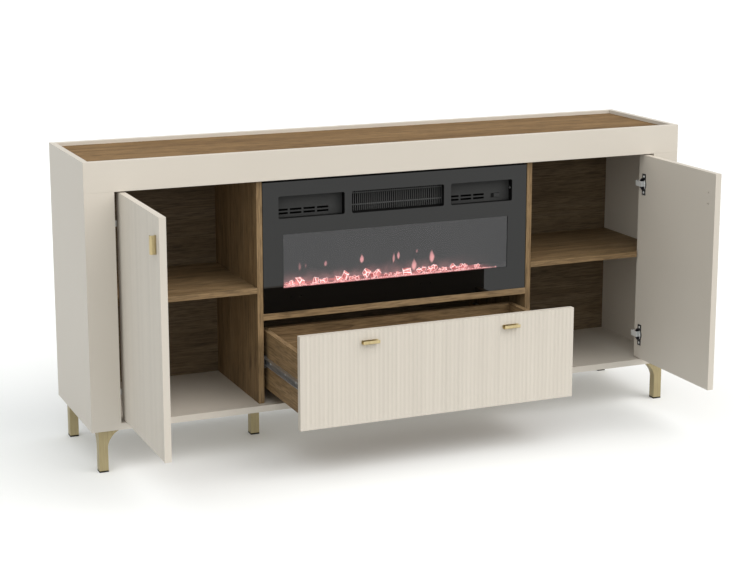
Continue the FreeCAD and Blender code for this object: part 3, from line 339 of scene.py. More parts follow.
def bare_rear(look, rear):
    """Show bare hardboard on the side of the sheet that faces the wall."""
    tree = look.node_tree
    paint = tree.nodes["Principled BSDF"].inputs["Base Color"]
    place = object_place(tree)
    start = rear - BARE_SKIN
    behind = span(tree, split(tree, place)["Y"], start - BARE_BLEND, start + BARE_BLEND)
    fibres = noise(tree, place, 330.0, 4.0, 0.8)
    clouds = noise(tree, place, 7.0, 5.0, 0.7)
    both = math_node(tree, "MULTIPLY", math_node(tree, "ADD", fibres, clouds), 0.5)
    board = ramp(tree, both, BOARD_BROWNS)
    tree.links.new(mix(tree, behind, paint.links[0].from_socket, board), paint)


# The back sheet's darker tone is painted shade at the back of the bays.
back_sheet = oak("oak_back_sheet", ALONG, tone=(0.55, 0.60, 0.70))
bare_rear(back_sheet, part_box("back_panel")[1].y)

# %% [markdown]
# ### Metals and plastics
# The legs and handles are gold, the hinge arms bright nickel, the hinge cups dark, the runners zinc,
# and the fireplace is black inside. The runners' members on the cabinet are a darker zinc, as
# painted shade, and the black inside the fireplace is partly painted shade behind the grille and
# above the glass. Each could have a recipe of its own, but they differ only in colour, gloss and the
# way they were brushed or rolled, so the drifting finish serves them all. A cloud that is squeezed
# across the brushing becomes fine streaks.

# %% Gold, nickel, zinc and black

BRUSHED_UPRIGHT = (40, 40, 3)
ROLLED_IN_DEPTH = (30, 2, 30)

gold = tinted("satin_gold", (0.335, 0.27, 0.146), (0.41, 0.34, 0.19), scale=8.0,
              rough=(0.38, 0.48), metal=0.4, stretch=BRUSHED_UPRIGHT)
brass = tinted("handle_gold", (0.45, 0.36, 0.19), (0.56, 0.46, 0.26), scale=8.0,
               rough=(0.26, 0.34), metal=1.0, stretch=BRUSHED_UPRIGHT)
nickel = tinted("nickel", (0.84, 0.84, 0.83), (0.92, 0.92, 0.91), scale=30.0,
                rough=(0.26, 0.34), metal=0.3)
zinc = tinted("zinc", (0.50, 0.50, 0.51), (0.62, 0.62, 0.63), scale=12.0,
              rough=(0.26, 0.36), metal=0.85, stretch=ROLLED_IN_DEPTH)
# The cabinet's runner members: zinc darkened as painted shade.
shaded_zinc = tinted("shaded_zinc", (0.14, 0.14, 0.15), (0.22, 0.22, 0.23), scale=12.0,
                   rough=(0.26, 0.36), metal=0.85, stretch=ROLLED_IN_DEPTH)
dark_steel = tinted("black_nickel", (0.045, 0.045, 0.05), (0.08, 0.08, 0.085), scale=40.0,
                    rough=(0.30, 0.40), metal=0.6)
# Black for the heater's insides: partly their own colour, partly painted shade behind the grille and
# in the gap above the glass.
painted_shade_black = tinted("shade_black", grey(0.004), grey(0.008), scale=20.0, rough=(0.55, 0.70), sheen=0.06)
rubber = tinted("black_plastic", grey(0.003), grey(0.006), scale=60.0, rough=(0.5, 0.65), sheen=0.06)
bright = tinted("bright_aluminium", (0.70, 0.70, 0.71), (0.80, 0.80, 0.81), scale=20.0,
                rough=(0.15, 0.25), metal=1.0)
white_strip = tinted("lamp_strip", (0.75, 0.75, 0.72), (0.85, 0.85, 0.82), scale=30.0,
                     rough=(0.45, 0.55))
motor_can = tinted("motor_can", (0.25, 0.25, 0.26), (0.32, 0.32, 0.33), scale=20.0,
                   rough=(0.35, 0.45), metal=0.8)
print("metals:", [made.name for made in (gold, brass, nickel, zinc, shaded_zinc, dark_steel, bright)])

# %% [markdown]
# ### Grey faces, black edges
# On the grille and the two vent pans, the faces that look out are grey in the photograph, and the
# walls and edges behind them are black. Here the grey is painted light and painted reflection, and
# the black is painted shade. Lamps could be hung so that the walls go dark, but then they would
# change the whole cabinet. One material that holds both tones and asks a mask which one to show
# leaves the rest of the picture alone.

# %% Painted light and shade, in two tones

PAINTED_SHADE_BLACKS = grey(0.002), grey(0.004)
MATTE, MATTE_SHEEN = (0.55, 0.65), 0.12


def painted_lit_and_shaded(name, tone, where):
    """A matte finish painted grey as light where a mask is 1, and black as shade elsewhere."""
    made, tree, shader, place = new_material(name)
    cloud = noise(tree, place, 20.0)
    front = shades(tree, cloud, grey(0.94 * tone), grey(1.06 * tone))
    edge = shades(tree, cloud, *PAINTED_SHADE_BLACKS)
    mask = where(tree, split(tree, place))
    tree.links.new(mix(tree, mask, edge, front), shader.inputs["Base Color"])
    tree.links.new(span(tree, cloud, 0.0, 1.0, *MATTE), shader.inputs["Roughness"])
    shader.inputs["Specular IOR Level"].default_value = MATTE_SHEEN
    return made


print("two tones, of which the darker lies at", PAINTED_SHADE_BLACKS[0][0], "to", PAINTED_SHADE_BLACKS[1][0])

# %% [markdown]
# ### Grille and vents
# The grille is a plate slotted into thin upright bars, with two bars across them, and each vent is a
# shallow pan with louvres. Picking their outward faces by hand would mean hundreds of clicks. But
# the faces that look out lie at one or two known depths, which the nodes' own boxes give, so a mask
# on the Y coordinate finds them all at once.

# %% Paint light on the outward faces

PAINT_DEPTH = 0.0002


def at_depths(strengths, bottom, top):
    """A mask of the faces at given depths, each with its strength, between two levels."""
    def where(tree, axes):
        total = 0.0
        for y, strength in strengths.items():
            away = math_node(tree, "ABSOLUTE", math_node(tree, "SUBTRACT", axes["Y"], y))
            near = math_node(tree, "LESS_THAN", away, PAINT_DEPTH)
            total = math_node(tree, "ADD", math_node(tree, "MULTIPLY", near, strength), total)
        above = math_node(tree, "GREATER_THAN", axes["Z"], bottom)
        below = math_node(tree, "LESS_THAN", axes["Z"], top)
        return math_node(tree, "MULTIPLY", total, math_node(tree, "MULTIPLY", above, below))
    return where


SHEET = 0.0012
# Painted shade: the plate's margins and the lowest millimetres of the bars stay black.
GRILLE_FOOT, GRILLE_HEAD = 0.0045, 0.0025
low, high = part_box("heater_grille")
# Painted light: half strength on the bars' fronts, full strength on the cross bars behind them.
lit_bar_fronts = {low.y: 0.5, (low.y + high.y) / 2: 1.0}
lit_bar_field = at_depths(lit_bar_fronts, low.z + GRILLE_FOOT, high.z - GRILLE_HEAD)
bars = painted_lit_and_shaded("grille_black", 0.12, lit_bar_field)
low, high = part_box("left_vent_panel")
# Each pan's plate is painted grey as painted reflection, its walls black as painted shade.
black = painted_lit_and_shaded("vent_black", 0.041, at_depths({high.y - SHEET: 1.0}, low.z, high.z))
print("grey faces on:", bars.name, black.name)

# %% [markdown]
# ### The rocker
# The switch is one small moulding that tips on a pin. Its raised end is painted grey as light and
# the end that is pressed in is painted black as shade. It could be split into two pieces to get its
# two tones, but then they would have to move as one. A soft step along X keeps it a single piece.

# %% The rocker's two ends

PRESSED_SHARE, STEP_BLEND = 0.35, 0.001


def right_of(x):
    """A mask of all that lies to the right of a place."""
    return lambda tree, axes: span(tree, axes["X"], x - STEP_BLEND, x + STEP_BLEND)


low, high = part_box("power_rocker")
step = low.x + PRESSED_SHARE * (high.x - low.x)
# Painted shade on the pressed end, painted light on the raised end.
rocker_lit_and_shaded = painted_lit_and_shaded("switch_plastic", 0.045, right_of(step))
print("rocker turns grey at x =", round(step, 4))

# %% [markdown]
# ### Printed glass
# The fireplace has one sheet of glass in front. A black print covers all of it, except for a wide
# clear window. The sheet could be cut into a frame and a pane, but the real one has no
# joint there, so a mask made from X and Z switches one glass from black to clear. The window bends
# light less than glass does, so it reflects little; its sheen is painted onto the screen behind it
# as a grey glow.

# %% Black print, clear window

WINDOW_HALF_WIDTH, WINDOW_BOTTOM, WINDOW_TOP = 0.345, 0.458, 0.608
PRINT_IOR, WINDOW_IOR = 1.5, 1.15


def printed_glass(half_width, bottom, top):
    made, tree, shader, place = new_material("printed_glass")
    axes = split(tree, place)
    across = math_node(tree, "LESS_THAN", math_node(tree, "ABSOLUTE", axes["X"]), half_width)
    off_middle = math_node(tree, "SUBTRACT", axes["Z"], (bottom + top) / 2)
    half_height = (top - bottom) / 2
    upright = math_node(tree, "LESS_THAN", math_node(tree, "ABSOLUTE", off_middle), half_height)
    window = math_node(tree, "MULTIPLY", across, upright)
    print_only = math_node(tree, "SUBTRACT", 1.0, window)
    tree.links.new(mix(tree, window, grey(0.002), grey(0.9)), shader.inputs["Base Color"])
    tree.links.new(window, shader.inputs["Transmission Weight"])
    bending = span(tree, window, 0.0, 1.0, PRINT_IOR, WINDOW_IOR, smooth=False)
    tree.links.new(bending, shader.inputs["IOR"])
    smear = span(tree, noise(tree, place, 5.0), 0.0, 1.0, 0.0, 0.03, smooth=False)
    tree.links.new(math_node(tree, "MULTIPLY", smear, print_only), shader.inputs["Roughness"])
    return made


glass = printed_glass(WINDOW_HALF_WIDTH, WINDOW_BOTTOM, WINDOW_TOP)
print("clear window:", 2 * WINDOW_HALF_WIDTH, "m wide,", WINDOW_TOP - WINDOW_BOTTOM, "m high")

# %% [markdown]
# ### The flame screen
# In such a fireplace the flames are light that a turning spinner throws on a frosted screen. They
# could be modelled as glowing leaves of mesh, but they have no body on the real object, so they
# belong to the screen's material. Each tongue is a place, a half width, a half height and a
# brightness, read from the photograph. Its light falls off softly round a leaf shape.

# %% One tongue of flame

TONGUES = [
    (-0.2685, 0.4976, 0.0030, 0.013, 0.28),
    (-0.2505, 0.4986, 0.0022, 0.008, 0.20),
    (-0.1907, 0.4994, 0.0040, 0.009, 0.55),
    (-0.0798, 0.5037, 0.0052, 0.013, 0.85),
    (0.0192, 0.4975, 0.0030, 0.015, 0.60),
    (0.0343, 0.5039, 0.0040, 0.012, 0.75),
    (0.0836, 0.4720, 0.0062, 0.018, 0.80),
    (0.0927, 0.5116, 0.0024, 0.006, 0.35),
    (0.1402, 0.4919, 0.0066, 0.019, 0.90),
]
LEAF_BELLY, LEAF_TAPER, LEAF_LEAST = 1.1, 0.35, 0.2


def leaf(tree, x, z, tongue):
    """The brightness of one tongue: pointed at both ends, soft all round, faint at its tip."""
    at_x, at_z, wide, tall, strength = tongue
    up = math_node(tree, "DIVIDE", math_node(tree, "SUBTRACT", z, at_z), tall)
    narrow = math_node(tree, "SUBTRACT", LEAF_BELLY, math_node(tree, "MULTIPLY", up, LEAF_TAPER))
    narrow = math_node(tree, "MAXIMUM", narrow, LEAF_LEAST)
    side = math_node(tree, "DIVIDE", math_node(tree, "SUBTRACT", x, at_x), wide)
    side = math_node(tree, "ABSOLUTE", math_node(tree, "DIVIDE", side, narrow))
    away = math_node(tree, "ADD", side, math_node(tree, "MULTIPLY", up, up))
    fade = span(tree, up, 1.2, -0.2, 0.4, 1.0)
    return math_node(tree, "MULTIPLY", span(tree, away, 1.4, 0.4, 0.0, strength), fade)


print("flame tongues:", len(TONGUES))

# %% [markdown]
# ### Haze on the screen
# The screen itself is dark. Besides the tongues it carries a faint grey glow all over and a pink
# haze that rises from the crystals and dies out to the right. The grey glow is a painted reflection:
# it stands in for the sheen of the window glass in front and the faint light inside. A lamp behind
# the screen could throw this light, but its pattern would be hard to steer, so the material gives
# off the light by itself.

# %% Light on the screen

PINK = (1.0, 0.47, 0.47)
# The grey of the screen's painted reflection.
SCREEN_REFLECTION_GREYS = (0.080, 0.080, 0.081), (0.086, 0.086, 0.087)
SWAY, HAZE_HEIGHT, HAZE_STRENGTH = 0.006, 0.042, 0.34
HAZE_LEFT, HAZE_RIGHT = 0.10, 0.33
LEDGE_RISE = 0.0635
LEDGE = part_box("ember_tray")[0].z + LEDGE_RISE


def lit_screen(tongues, bed_top):
    made, tree, shader, place = new_material("lit_screen")
    axes = split(tree, place)
    sway = math_node(tree, "SUBTRACT", noise(tree, place, 60.0, 2.0), 0.5)
    x = math_node(tree, "ADD", axes["X"], math_node(tree, "MULTIPLY", sway, SWAY))
    cloud = noise(tree, place, 30.0, 2.0)
    rise = math_node(tree, "ADD", axes["Z"], span(tree, cloud, DARK_AT, LIGHT_AT, 0.012, 0.0))
    haze = span(tree, rise, bed_top + HAZE_HEIGHT, bed_top, smooth=False)
    total = math_node(tree, "POWER", haze, 2.0)
    reach = span(tree, axes["X"], HAZE_RIGHT, HAZE_LEFT, 0.0, HAZE_STRENGTH)
    total = math_node(tree, "MULTIPLY", total, reach)
    for tongue in tongues:
        total = math_node(tree, "ADD", total, leaf(tree, x, axes["Z"], tongue))
    glow = shades(tree, noise(tree, place, 4.0), *SCREEN_REFLECTION_GREYS)
    tree.links.new(mix(tree, total, glow, PINK), shader.inputs["Emission Color"])
    shader.inputs["Emission Strength"].default_value = 1.0
    tree.links.new(shades(tree, cloud, grey(0.003), grey(0.006)), shader.inputs["Base Color"])
    shader.inputs["Specular IOR Level"].default_value = 0.0
    return made


BED_TOP = LEDGE + 0.001
screen_light = lit_screen(TONGUES, BED_TOP)
print("screen lit from z =", round(LEDGE, 4), "upwards")

# %% [markdown]
# ### The ember tray
# The crystals lie on a tray of black sheet, which their light turns pink. The crystals' own light
# could do that, but black sheet sends little of it back. So a mask on the tray's height and length
# lets its top glow by itself, with a cloud in it for the gaps between crystals. Elsewhere the tray
# gives off the same faint grey as the screen, as painted reflection of the window glass in front.

# %% A tray that glows on top

# The grey is the painted reflection; the pink is the crystals' painted light.
TRAY_GLOW, TRAY_REFLECTION_GREY = (0.62, 0.21, 0.21), (0.083, 0.083, 0.084)
GLOW_LEFT, GLOW_RIGHT = 0.24, 0.33


def glowing_tray(ledge):
    """Black sheet whose top is lit by the crystals that lie on it."""
    made, tree, shader, place = new_material("glowing_tray")
    axes = split(tree, place)
    on_top = span(tree, axes["Z"], ledge - 0.004, ledge - 0.001)
    lit = math_node(tree, "MULTIPLY", on_top, span(tree, axes["X"], GLOW_RIGHT, GLOW_LEFT))
    cloud = noise(tree, place, 45.0, 2.0)
    lit = math_node(tree, "MULTIPLY", lit, span(tree, cloud, DARK_AT, LIGHT_AT, 0.3, 1.0))
    tree.links.new(mix(tree, lit, TRAY_REFLECTION_GREY, TRAY_GLOW), shader.inputs["Emission Color"])
    shader.inputs["Emission Strength"].default_value = 1.0
    tree.links.new(shades(tree, cloud, grey(0.004), grey(0.008)), shader.inputs["Base Color"])
    shader.inputs["Specular IOR Level"].default_value = 0.06
    return made


tray_glow = glowing_tray(LEDGE)
print("tray:", tray_glow.name)

# %% [markdown]
# ### Dress the CAD nodes
# Every solid of the cabinet now gets its finish. Each could be dressed in the cell where its finish
# is made, but one table shows at a glance what is made of what, and the printed rest shows what
# still needs a piece of its own.

# %% Assign the finishes

LOOKS = {
    lacquer: ["left_side_panel", "right_side_panel", "left_stile", "right_stile", "front_rail",
              "bottom_panel", "back_rim"],
    door_lacquer: ["left_door_panel", "right_door_panel"],
    drawer_lacquer: ["drawer_front"],
    oak_top: ["top_panel"],
    oak_long: ["left_shelf", "right_shelf", "insert_shelf", "drawer_back", "drawer_bottom"],
    oak_deep: ["drawer_left_side", "drawer_right_side"],
    oak_tall: ["left_divider", "right_divider"],
    back_sheet: ["back_panel"],
    gold: ["front_left_leg", "front_right_leg", "rear_left_leg", "rear_right_leg", "middle_legs"],
    brass: ["left_door_handle", "right_door_handle", "drawer_handles"],
    nickel: ["left_hinge_arms", "right_hinge_arms", "shelf_pins", "left_hinge_pins",
             "right_hinge_pins"],
    dark_steel: ["left_hinge_cups", "right_hinge_cups"],
    zinc: ["left_runner_drawer", "right_runner_drawer", "left_runner_cage", "right_runner_cage"],
    shaded_zinc: ["left_runner_cabinet", "right_runner_cabinet"],
    black: ["left_vent_panel", "right_vent_panel"],
    bars: ["heater_grille"],
    painted_shade_black: ["fireplace_housing", "heater_duct", "heating_element", "heater_fan"],
    tray_glow: ["ember_tray"],
    rubber: ["foot_caps", "cable_gland"],
    rocker_lit_and_shaded: ["power_rocker"],
    bright: ["flame_spinner"],
    white_strip: ["light_strip"],
    motor_can: ["spinner_motor", "fan_motor"],
    glass: ["front_glass"],
    screen_light: ["flame_screen"],
}


def dress(piece, look):
    piece.data.materials.clear()
    piece.data.materials.append(look)


for look, names in LOOKS.items():
    for name in names:
        dress(parts[name], look)
dressed = {name for names in LOOKS.values() for name in names}
print("nodes left for a Blender piece:", sorted(set(parts) - dressed))

# %% [markdown]
# ### Eased edges
# A maker takes the sharp edge off every board with a little sandpaper, and folded metal has a small
# radius of its own. The CAD mesh may not be changed, so a modifier does it: the weld joins the
# mesh's loose triangles and the bevel rounds what is left sharp. Modifiers stay live, so the node
# itself is as it was. The bottom panel keeps its sharp edges.

# %% Ease the boards, legs and handles

SHARP = ["bottom_panel"]
WELD_REACH = 0.00002
BOARD_EASE, METAL_EASE = 0.0007, 0.0005
SHARP_FROM = math.radians(50)


def ease(piece, width):
    weld = piece.modifiers.new("join_edges", "WELD")
    weld.merge_threshold = WELD_REACH
    soft = piece.modifiers.new("eased_edges", "BEVEL")
    soft.width = width
    soft.segments = 2
    soft.limit_method = "ANGLE"
    soft.angle_limit = SHARP_FROM


plain_boards = LOOKS[lacquer] + LOOKS[oak_top] + LOOKS[oak_long] + LOOKS[oak_tall]
boards = [name for name in plain_boards if name not in SHARP]
metals = LOOKS[gold] + LOOKS[brass]
for name in boards:
    ease(parts[name], BOARD_EASE)
for name in metals:
    ease(parts[name], METAL_EASE)
print("eased:", len(boards), "boards and", len(metals), "legs and handles")

# %% [markdown]
# ## Glowing crystals
# The ember bed is a heap of clear, broken crystals, lit pink from below, with bright edges. The CAD
# part has only simple lumps there. Real glass with lamps under it would be slow and noisy to render,
# so the crystals give off their own light instead: a dim pink for the faces and a second, nearly
# white pink for the edges, where real glass gathers the light.

# %% Crystal finishes


def crystal_material(name, dark, light, strength):
    made, tree, shader, place = new_material(name)
    colour = ramp(tree, noise(tree, place, 70.0, 2.0), [(0.35, dark), (0.65, light)])
    tree.links.new(colour, shader.inputs["Emission Color"])
    tree.links.new(colour, shader.inputs["Base Color"])
    shader.inputs["Emission Strength"].default_value = strength
    shader.inputs["Roughness"].default_value = 0.15
    return made


ember_face = crystal_material("ember_face", (0.32, 0.085, 0.085), (0.66, 0.26, 0.25), 0.9)
ember_edge = crystal_material("ember_edge", (0.94, 0.58, 0.57), (1.0, 0.90, 0.90), 1.0)
print("crystal finishes:", ember_face.name, ember_edge.name)

# %% [markdown]
# ### Cut the stones
# A crystal is a chunk with a few flat, slanting faces. It could be sculpted, but flat faces come most
# easily from cutting: a cube is sliced with bisect along planes thrown by dice, and the open cut is
# filled. A cube whose edges come out too short for a bevel is thrown away. The bevel then takes the
# second finish, so that every crystal has its bright outline. Four stones are enough, because each
# copy is turned another way. The dice start from a fixed number, so each run gives the same bed.

# %% Four stones

dice = random.Random(7)
CUTS = (2, 2, 3, 3)
CUT_NEAREST, CUT_FARTHEST = 0.40, 0.52
SHORTEST_EDGE, STONE_BEVEL = 0.2, 0.06


def sliced_cube(cuts):
    """A cube with corners and sides sliced off by slanted planes."""
    bpy.ops.object.select_all(action="DESELECT")
    bpy.ops.mesh.primitive_cube_add(size=1)
    bpy.ops.object.mode_set(mode="EDIT")
    for _ in range(cuts):
        slant = Vector([dice.uniform(-1, 1) for _ in range(3)]).normalized()
        spot = slant * dice.uniform(CUT_NEAREST, CUT_FARTHEST)
        bpy.ops.mesh.select_all(action="SELECT")
        bpy.ops.mesh.bisect(plane_co=spot, plane_no=slant, use_fill=True, clear_outer=True)
    bpy.ops.object.mode_set(mode="OBJECT")
    return bpy.context.object


def shortest_edge(piece):
    points = piece.data.vertices
    ends = [edge.vertices for edge in piece.data.edges]
    return min((points[a].co - points[b].co).length for a, b in ends)


def cut_stone(cuts):
    """Slice cubes until one has no edge too short for the bevel, then bevel it."""
    made = sliced_cube(cuts)
    while shortest_edge(made) < SHORTEST_EDGE:
        bpy.data.objects.remove(made)
        made = sliced_cube(cuts)
    dress(made, ember_face)
    made.data.materials.append(ember_edge)
    bpy.ops.object.mode_set(mode="EDIT")
    bpy.ops.mesh.select_all(action="SELECT")
    bpy.ops.mesh.bevel(offset=STONE_BEVEL, segments=1, affect="EDGES", material=1)
    bpy.ops.object.mode_set(mode="OBJECT")
    return made


stones = [cut_stone(cuts) for cuts in CUTS]
print("faces on each stone:", [len(stone.data.polygons) for stone in stones])

# %% [markdown]
# ### Tumble a stone
# In the bed no two crystals lie the same way. Rigid bodies could be dropped into the tray to settle
# by themselves, but then their places could not be chosen. So a stone is copied with its own mesh,
# turned by dice, sized to the width and height that its place asks for, and set on the tray's ledge.
# Joined at the end, the whole heap is one piece with its place in its mesh.

# %% Copy, turn, size and join

DEPTH_SHARE = 0.8


def crystal(x, y, wide, tall):
    """A copy of one stone, tumbled by chance and then sized to its place on the ledge."""
    stone = dice.choice(stones)
    made = stone.copy()
    made.data = stone.data.copy()
    made.rotation_euler = [dice.uniform(0, 2 * math.pi) for _ in range(3)]
    bpy.context.collection.objects.link(made)
    bpy.ops.object.select_all(action="DESELECT")
    made.select_set(True)
    bpy.context.view_layer.objects.active = made
    bpy.ops.object.transform_apply(rotation=True)
    bpy.ops.object.origin_set(type="ORIGIN_GEOMETRY", center="BOUNDS")
    bpy.context.view_layer.update()
    made.dimensions = (wide, DEPTH_SHARE * wide, tall)
    made.location = (x, y, LEDGE + tall / 2)
    return made


def join(pieces, name):
    """One piece from many, at the origin, unturned and unscaled."""
    bpy.ops.object.select_all(action="DESELECT")
    for piece in pieces:
        piece.select_set(True)
    bpy.context.view_layer.objects.active = pieces[0]
    bpy.ops.object.join()
    bpy.ops.object.transform_apply(location=True, rotation=True, scale=True)
    made = bpy.context.object
    made.name = name
    return made


print("crystals lie on the ledge at z =", round(LEDGE, 4))

# %% [markdown]
# ### Grow the bed
# The larger crystals stand where the photograph shows them: each row below is a place along the
# cabinet, a width and a height. A wide one is broken into lumps, of which the middle one is the
# tallest. A row of small chips along the front makes the bright line at the foot of the bed, and it
# gets finer at the right end. Scattering with nodes would be another way, but a loop is easier to
# steer.

# %% Crystals and chips

CRYSTALS = [
    (-0.315, 0.028, 0.017), (-0.287, 0.023, 0.024), (-0.239, 0.015, 0.019), (-0.215, 0.023, 0.014),
    (-0.170, 0.018, 0.015), (-0.148, 0.021, 0.028), (-0.120, 0.032, 0.013), (-0.082, 0.021, 0.029),
    (-0.054, 0.030, 0.024), (-0.026, 0.009, 0.012), (-0.014, 0.019, 0.011), (0.012, 0.026, 0.012),
    (0.039, 0.023, 0.020), (0.088, 0.028, 0.019), (0.121, 0.035, 0.021), (0.155, 0.028, 0.013),
    (0.188, 0.018, 0.020), (0.216, 0.038, 0.018), (0.263, 0.018, 0.014),
]
LUMP_SHAPE, LUMP_OVERLAP = 0.8, 1.2
CRYSTAL_ROW, CHIP_ROW = (0.050, 0.060), (0.040, 0.043)
CHIPS, CHIP_SIZES, CHIP_SHAPE = 110, (0.003, 0.006), 1.5
CHIP_START, CHIP_RUN = -0.338, 0.655
FINE_FROM, FINE_SHARE = 0.27, 0.7


def ember_bed():
    heap = []
    for x, wide, tall in CRYSTALS:
        lumps = max(1, round(wide / tall / LUMP_SHAPE))
        for i in range(lumps):
            at = x + wide * ((i + 0.5) / lumps - 0.5)
            share = tall if i == lumps // 2 else tall * dice.uniform(0.6, 0.9)
            y = dice.uniform(*CRYSTAL_ROW)
            heap.append(crystal(at, y, LUMP_OVERLAP * wide / lumps, share))
    for i in range(CHIPS):
        x = CHIP_START + CHIP_RUN * i / (CHIPS - 1)
        size = dice.uniform(*CHIP_SIZES) * (1.0 if x < FINE_FROM else FINE_SHARE)
        heap.append(crystal(x, dice.uniform(*CHIP_ROW), CHIP_SHAPE * size, size))
    return join(heap, "ember_bed")


bed = ember_bed()
for stone in stones:
    bpy.data.objects.remove(stone)
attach(bed, "cabinet")
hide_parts("ember_crystals")
print("crystal faces:", len(bed.data.polygons))

# %% [markdown]
# ## Screws
# The hinge flanges, the runners and the right vent pan are held by cross-head screws, of which only
# the heads show. A head could be a picture of a cross on a disc, but a real recess catches the light
# as the door swings. So one head starts as a cylinder, its rim is rounded by a bevel, and two crossed
# bars are taken out of it with booleans.

# %% Cut one screw head

HEAD_RADIUS, HEAD_HEIGHT = 0.0036, 0.0016
RIM_SHARE, RECESS_LENGTH, RECESS_WIDTH = 0.45, 1.2, 0.24


def bar(length, width, depth):
    bpy.ops.mesh.primitive_cube_add(size=1, location=(0, 0, depth))
    made = bpy.context.object
    made.scale = (length, width, depth)
    return made


def screw_head(radius, height):
    bpy.ops.object.select_all(action="DESELECT")
    middle = (0, 0, height / 2)
    bpy.ops.mesh.primitive_cylinder_add(vertices=32, radius=radius, depth=height, location=middle)
    head = bpy.context.object
    soft = head.modifiers.new("round", "BEVEL")
    soft.width = height * RIM_SHARE
    soft.segments = 3
    soft.limit_method = "ANGLE"
    bpy.ops.object.modifier_apply(modifier=soft.name)
    long, thin = radius * RECESS_LENGTH, radius * RECESS_WIDTH
    cross = [bar(long, thin, height), bar(thin, long, height)]
    for blade in cross:
        cut = head.modifiers.new("recess", "BOOLEAN")
        cut.object = blade
        cut.operation = "DIFFERENCE"
        bpy.context.view_layer.objects.active = head
        bpy.ops.object.modifier_apply(modifier=cut.name)
    for blade in cross:
        bpy.data.objects.remove(blade)
    dress(head, nickel)
    return head


master = screw_head(HEAD_RADIUS, HEAD_HEIGHT)
print("faces on the screw head:", len(master.data.polygons))

# %% [markdown]
# ### Lay the screws
# Each hinge flange has two screws, each drawer channel three, and the right vent pan one on its end
# wall. Modelling every head anew would waste time, so the one head is copied, turned to face out of
# its plate and joined with its neighbours. Each group then rides on the door, the drawer or the
# cabinet that it is screwed to.

# %% Copies on hinges, runners and vent


def lay(name, body, spots, facing):
    """Copies of the master head at the given spots, with their tops facing one way."""
    turn = Vector((0, 0, 1)).rotation_difference(Vector(facing))
    heads = []
    for spot in spots:
        head = master.copy()
        head.data = master.data.copy()
        head.rotation_mode = "QUATERNION"
        head.rotation_quaternion = turn
        head.location = spot
        bpy.context.collection.objects.link(head)
        heads.append(head)
    made = join(heads, name)
    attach(made, body)
    return made


WING_Y, WING_NEAR, WING_FAR = 0.0014, 0.008, 0.056
RUNNER_LEVEL, RUNNER_DEPTHS = 0.254, (-0.2, -0.118, -0.002)
VENT_SCREW_Y, VENT_SCREW_Z = 0.038, 0.688

for side, sign in (("left", 1), ("right", -1)):
    low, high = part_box(side + "_hinge_cups")
    face = high.x if sign > 0 else low.x
    levels = [low.z + WING_NEAR, low.z + WING_FAR, high.z - WING_FAR, high.z - WING_NEAR]
    lay(side + "_hinge_screws", side + "_door", [(face, WING_Y, z) for z in levels], (sign, 0, 0))
    low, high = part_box(side + "_runner_drawer")
    web = (high.x if sign > 0 else low.x) - sign * SHEET
    spots = [(web, y, RUNNER_LEVEL) for y in RUNNER_DEPTHS]
    lay(side + "_runner_screws", "drawer", spots, (-sign, 0, 0))
vent_spot = (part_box("right_vent_panel")[1].x - SHEET, VENT_SCREW_Y, VENT_SCREW_Z)
dress(lay("vent_screw", "cabinet", [vent_spot], (-1, 0, 0)), zinc)
bpy.data.objects.remove(master)

# %% [markdown]
# ## Studio
# A catalogue picture is taken on a pale floor that runs off into white. A curved backdrop would do
# that too, but it would stand in the way of a look from behind, so a very large floor meets a white
# world instead. The floor is hidden from diffuse rays, so the undersides get the world's even light,
# and not a bounce that the cabinet's own shadow darkens.

# %% Floor and world

FLOOR_SIZE = 160
SKY, SKY_STRENGTH = (0.975, 1.0, 0.985, 1), 0.54


def studio():
    bpy.ops.mesh.primitive_plane_add(size=FLOOR_SIZE, location=(0, 0, 0))
    floor = bpy.context.object
    floor.name = "floor"
    look = tinted("pale_floor", (0.905, 0.91, 0.915), (0.925, 0.93, 0.935), 0.4, (0.6, 0.7))
    dress(floor, look)
    floor.visible_diffuse = False
    world = bpy.data.worlds.new("studio")
    bpy.context.scene.world = world
    world.use_nodes = True
    background = world.node_tree.nodes["Background"]
    background.inputs["Color"].default_value = SKY
    background.inputs["Strength"].default_value = SKY_STRENGTH
    return floor


print("stage:", studio().name, "and world", bpy.context.scene.world.name)

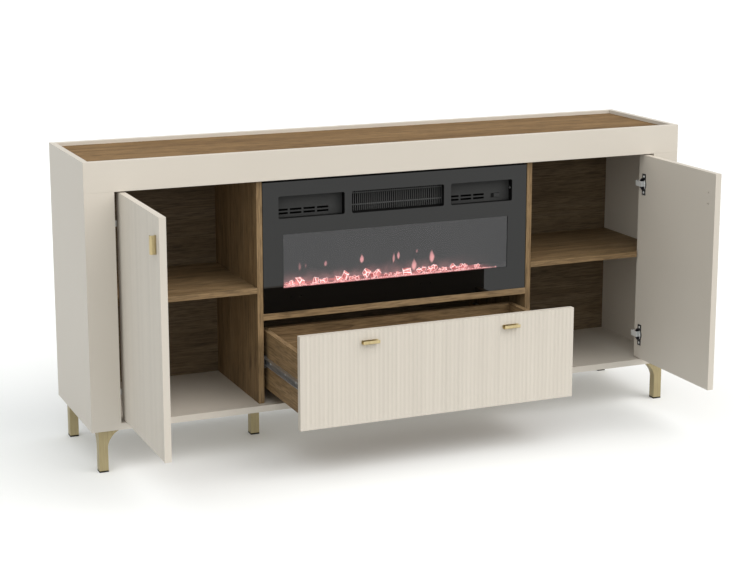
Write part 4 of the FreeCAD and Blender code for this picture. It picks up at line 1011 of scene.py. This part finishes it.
# %% [markdown]
# ### Light
# In the photograph the shadows are soft, and the front is lighter than the cabinet's left side. Area
# lamps would give soft shadows too, but their light fades across such a long cabinet. A sun lights
# it evenly, and a wide angle makes its shadow as soft as a big screen's. A warm key comes from the
# right, a weaker fill from the left and a wide one from above.

# %% Three soft suns


def soft_sun(name, toward, spread, strength, colour=(1, 1, 1)):
    """A distant light from a direction; a wide spread makes it as soft as a big screen."""
    lamp = bpy.data.lights.new(name, "SUN")
    lamp.energy = strength
    lamp.color = colour
    lamp.angle = math.radians(spread)
    holder = bpy.data.objects.new(name, lamp)
    bpy.context.collection.objects.link(holder)
    holder.rotation_euler = Vector(toward).to_track_quat("Z", "Y").to_euler()
    return holder


suns = [
    soft_sun("key", (0.55, -0.60, 0.58), 60, 1.7, (1.0, 0.96, 0.91)),
    soft_sun("fill", (-0.60, -0.65, 0.45), 80, 1.0, (0.97, 1.0, 0.97)),
    soft_sun("overhead", (0.0, -0.1, 1.0), 90, 1.0),
]
print("suns:", [sun.name for sun in suns])

# %% [markdown]
# ### Camera
# The photograph was taken from the left front and from above the top. A camera could be set by eye,
# but then edges never quite meet, so its place, turn and lens were fitted to corners of the cabinet
# in the photograph. A small shift of the lens moves the picture up or down in its frame without
# tilting the camera further. The plain view transform keeps the cream and the white as they are
# mixed.

# %% Look through the camera

EYE = (-1.9510, -4.3669, 1.5646)
DOWN, TURN = 11.755, 23.183
SENSOR_WIDTH, PICTURE_WIDTH, FOCAL_PIXELS, SHIFT = 36, 750, 1740.79, -0.0553

camera = bpy.data.cameras.new("camera")
viewer = bpy.data.objects.new("camera", camera)
bpy.context.collection.objects.link(viewer)
bpy.context.scene.camera = viewer
viewer.location = EYE
viewer.rotation_euler = (math.radians(90 - DOWN), 0, math.radians(-TURN))
camera.sensor_width = SENSOR_WIDTH
camera.lens = FOCAL_PIXELS / PICTURE_WIDTH * SENSOR_WIDTH
camera.shift_y = SHIFT
bpy.context.scene.view_settings.view_transform = "Standard"
print("lens:", round(camera.lens, 1), "mm")
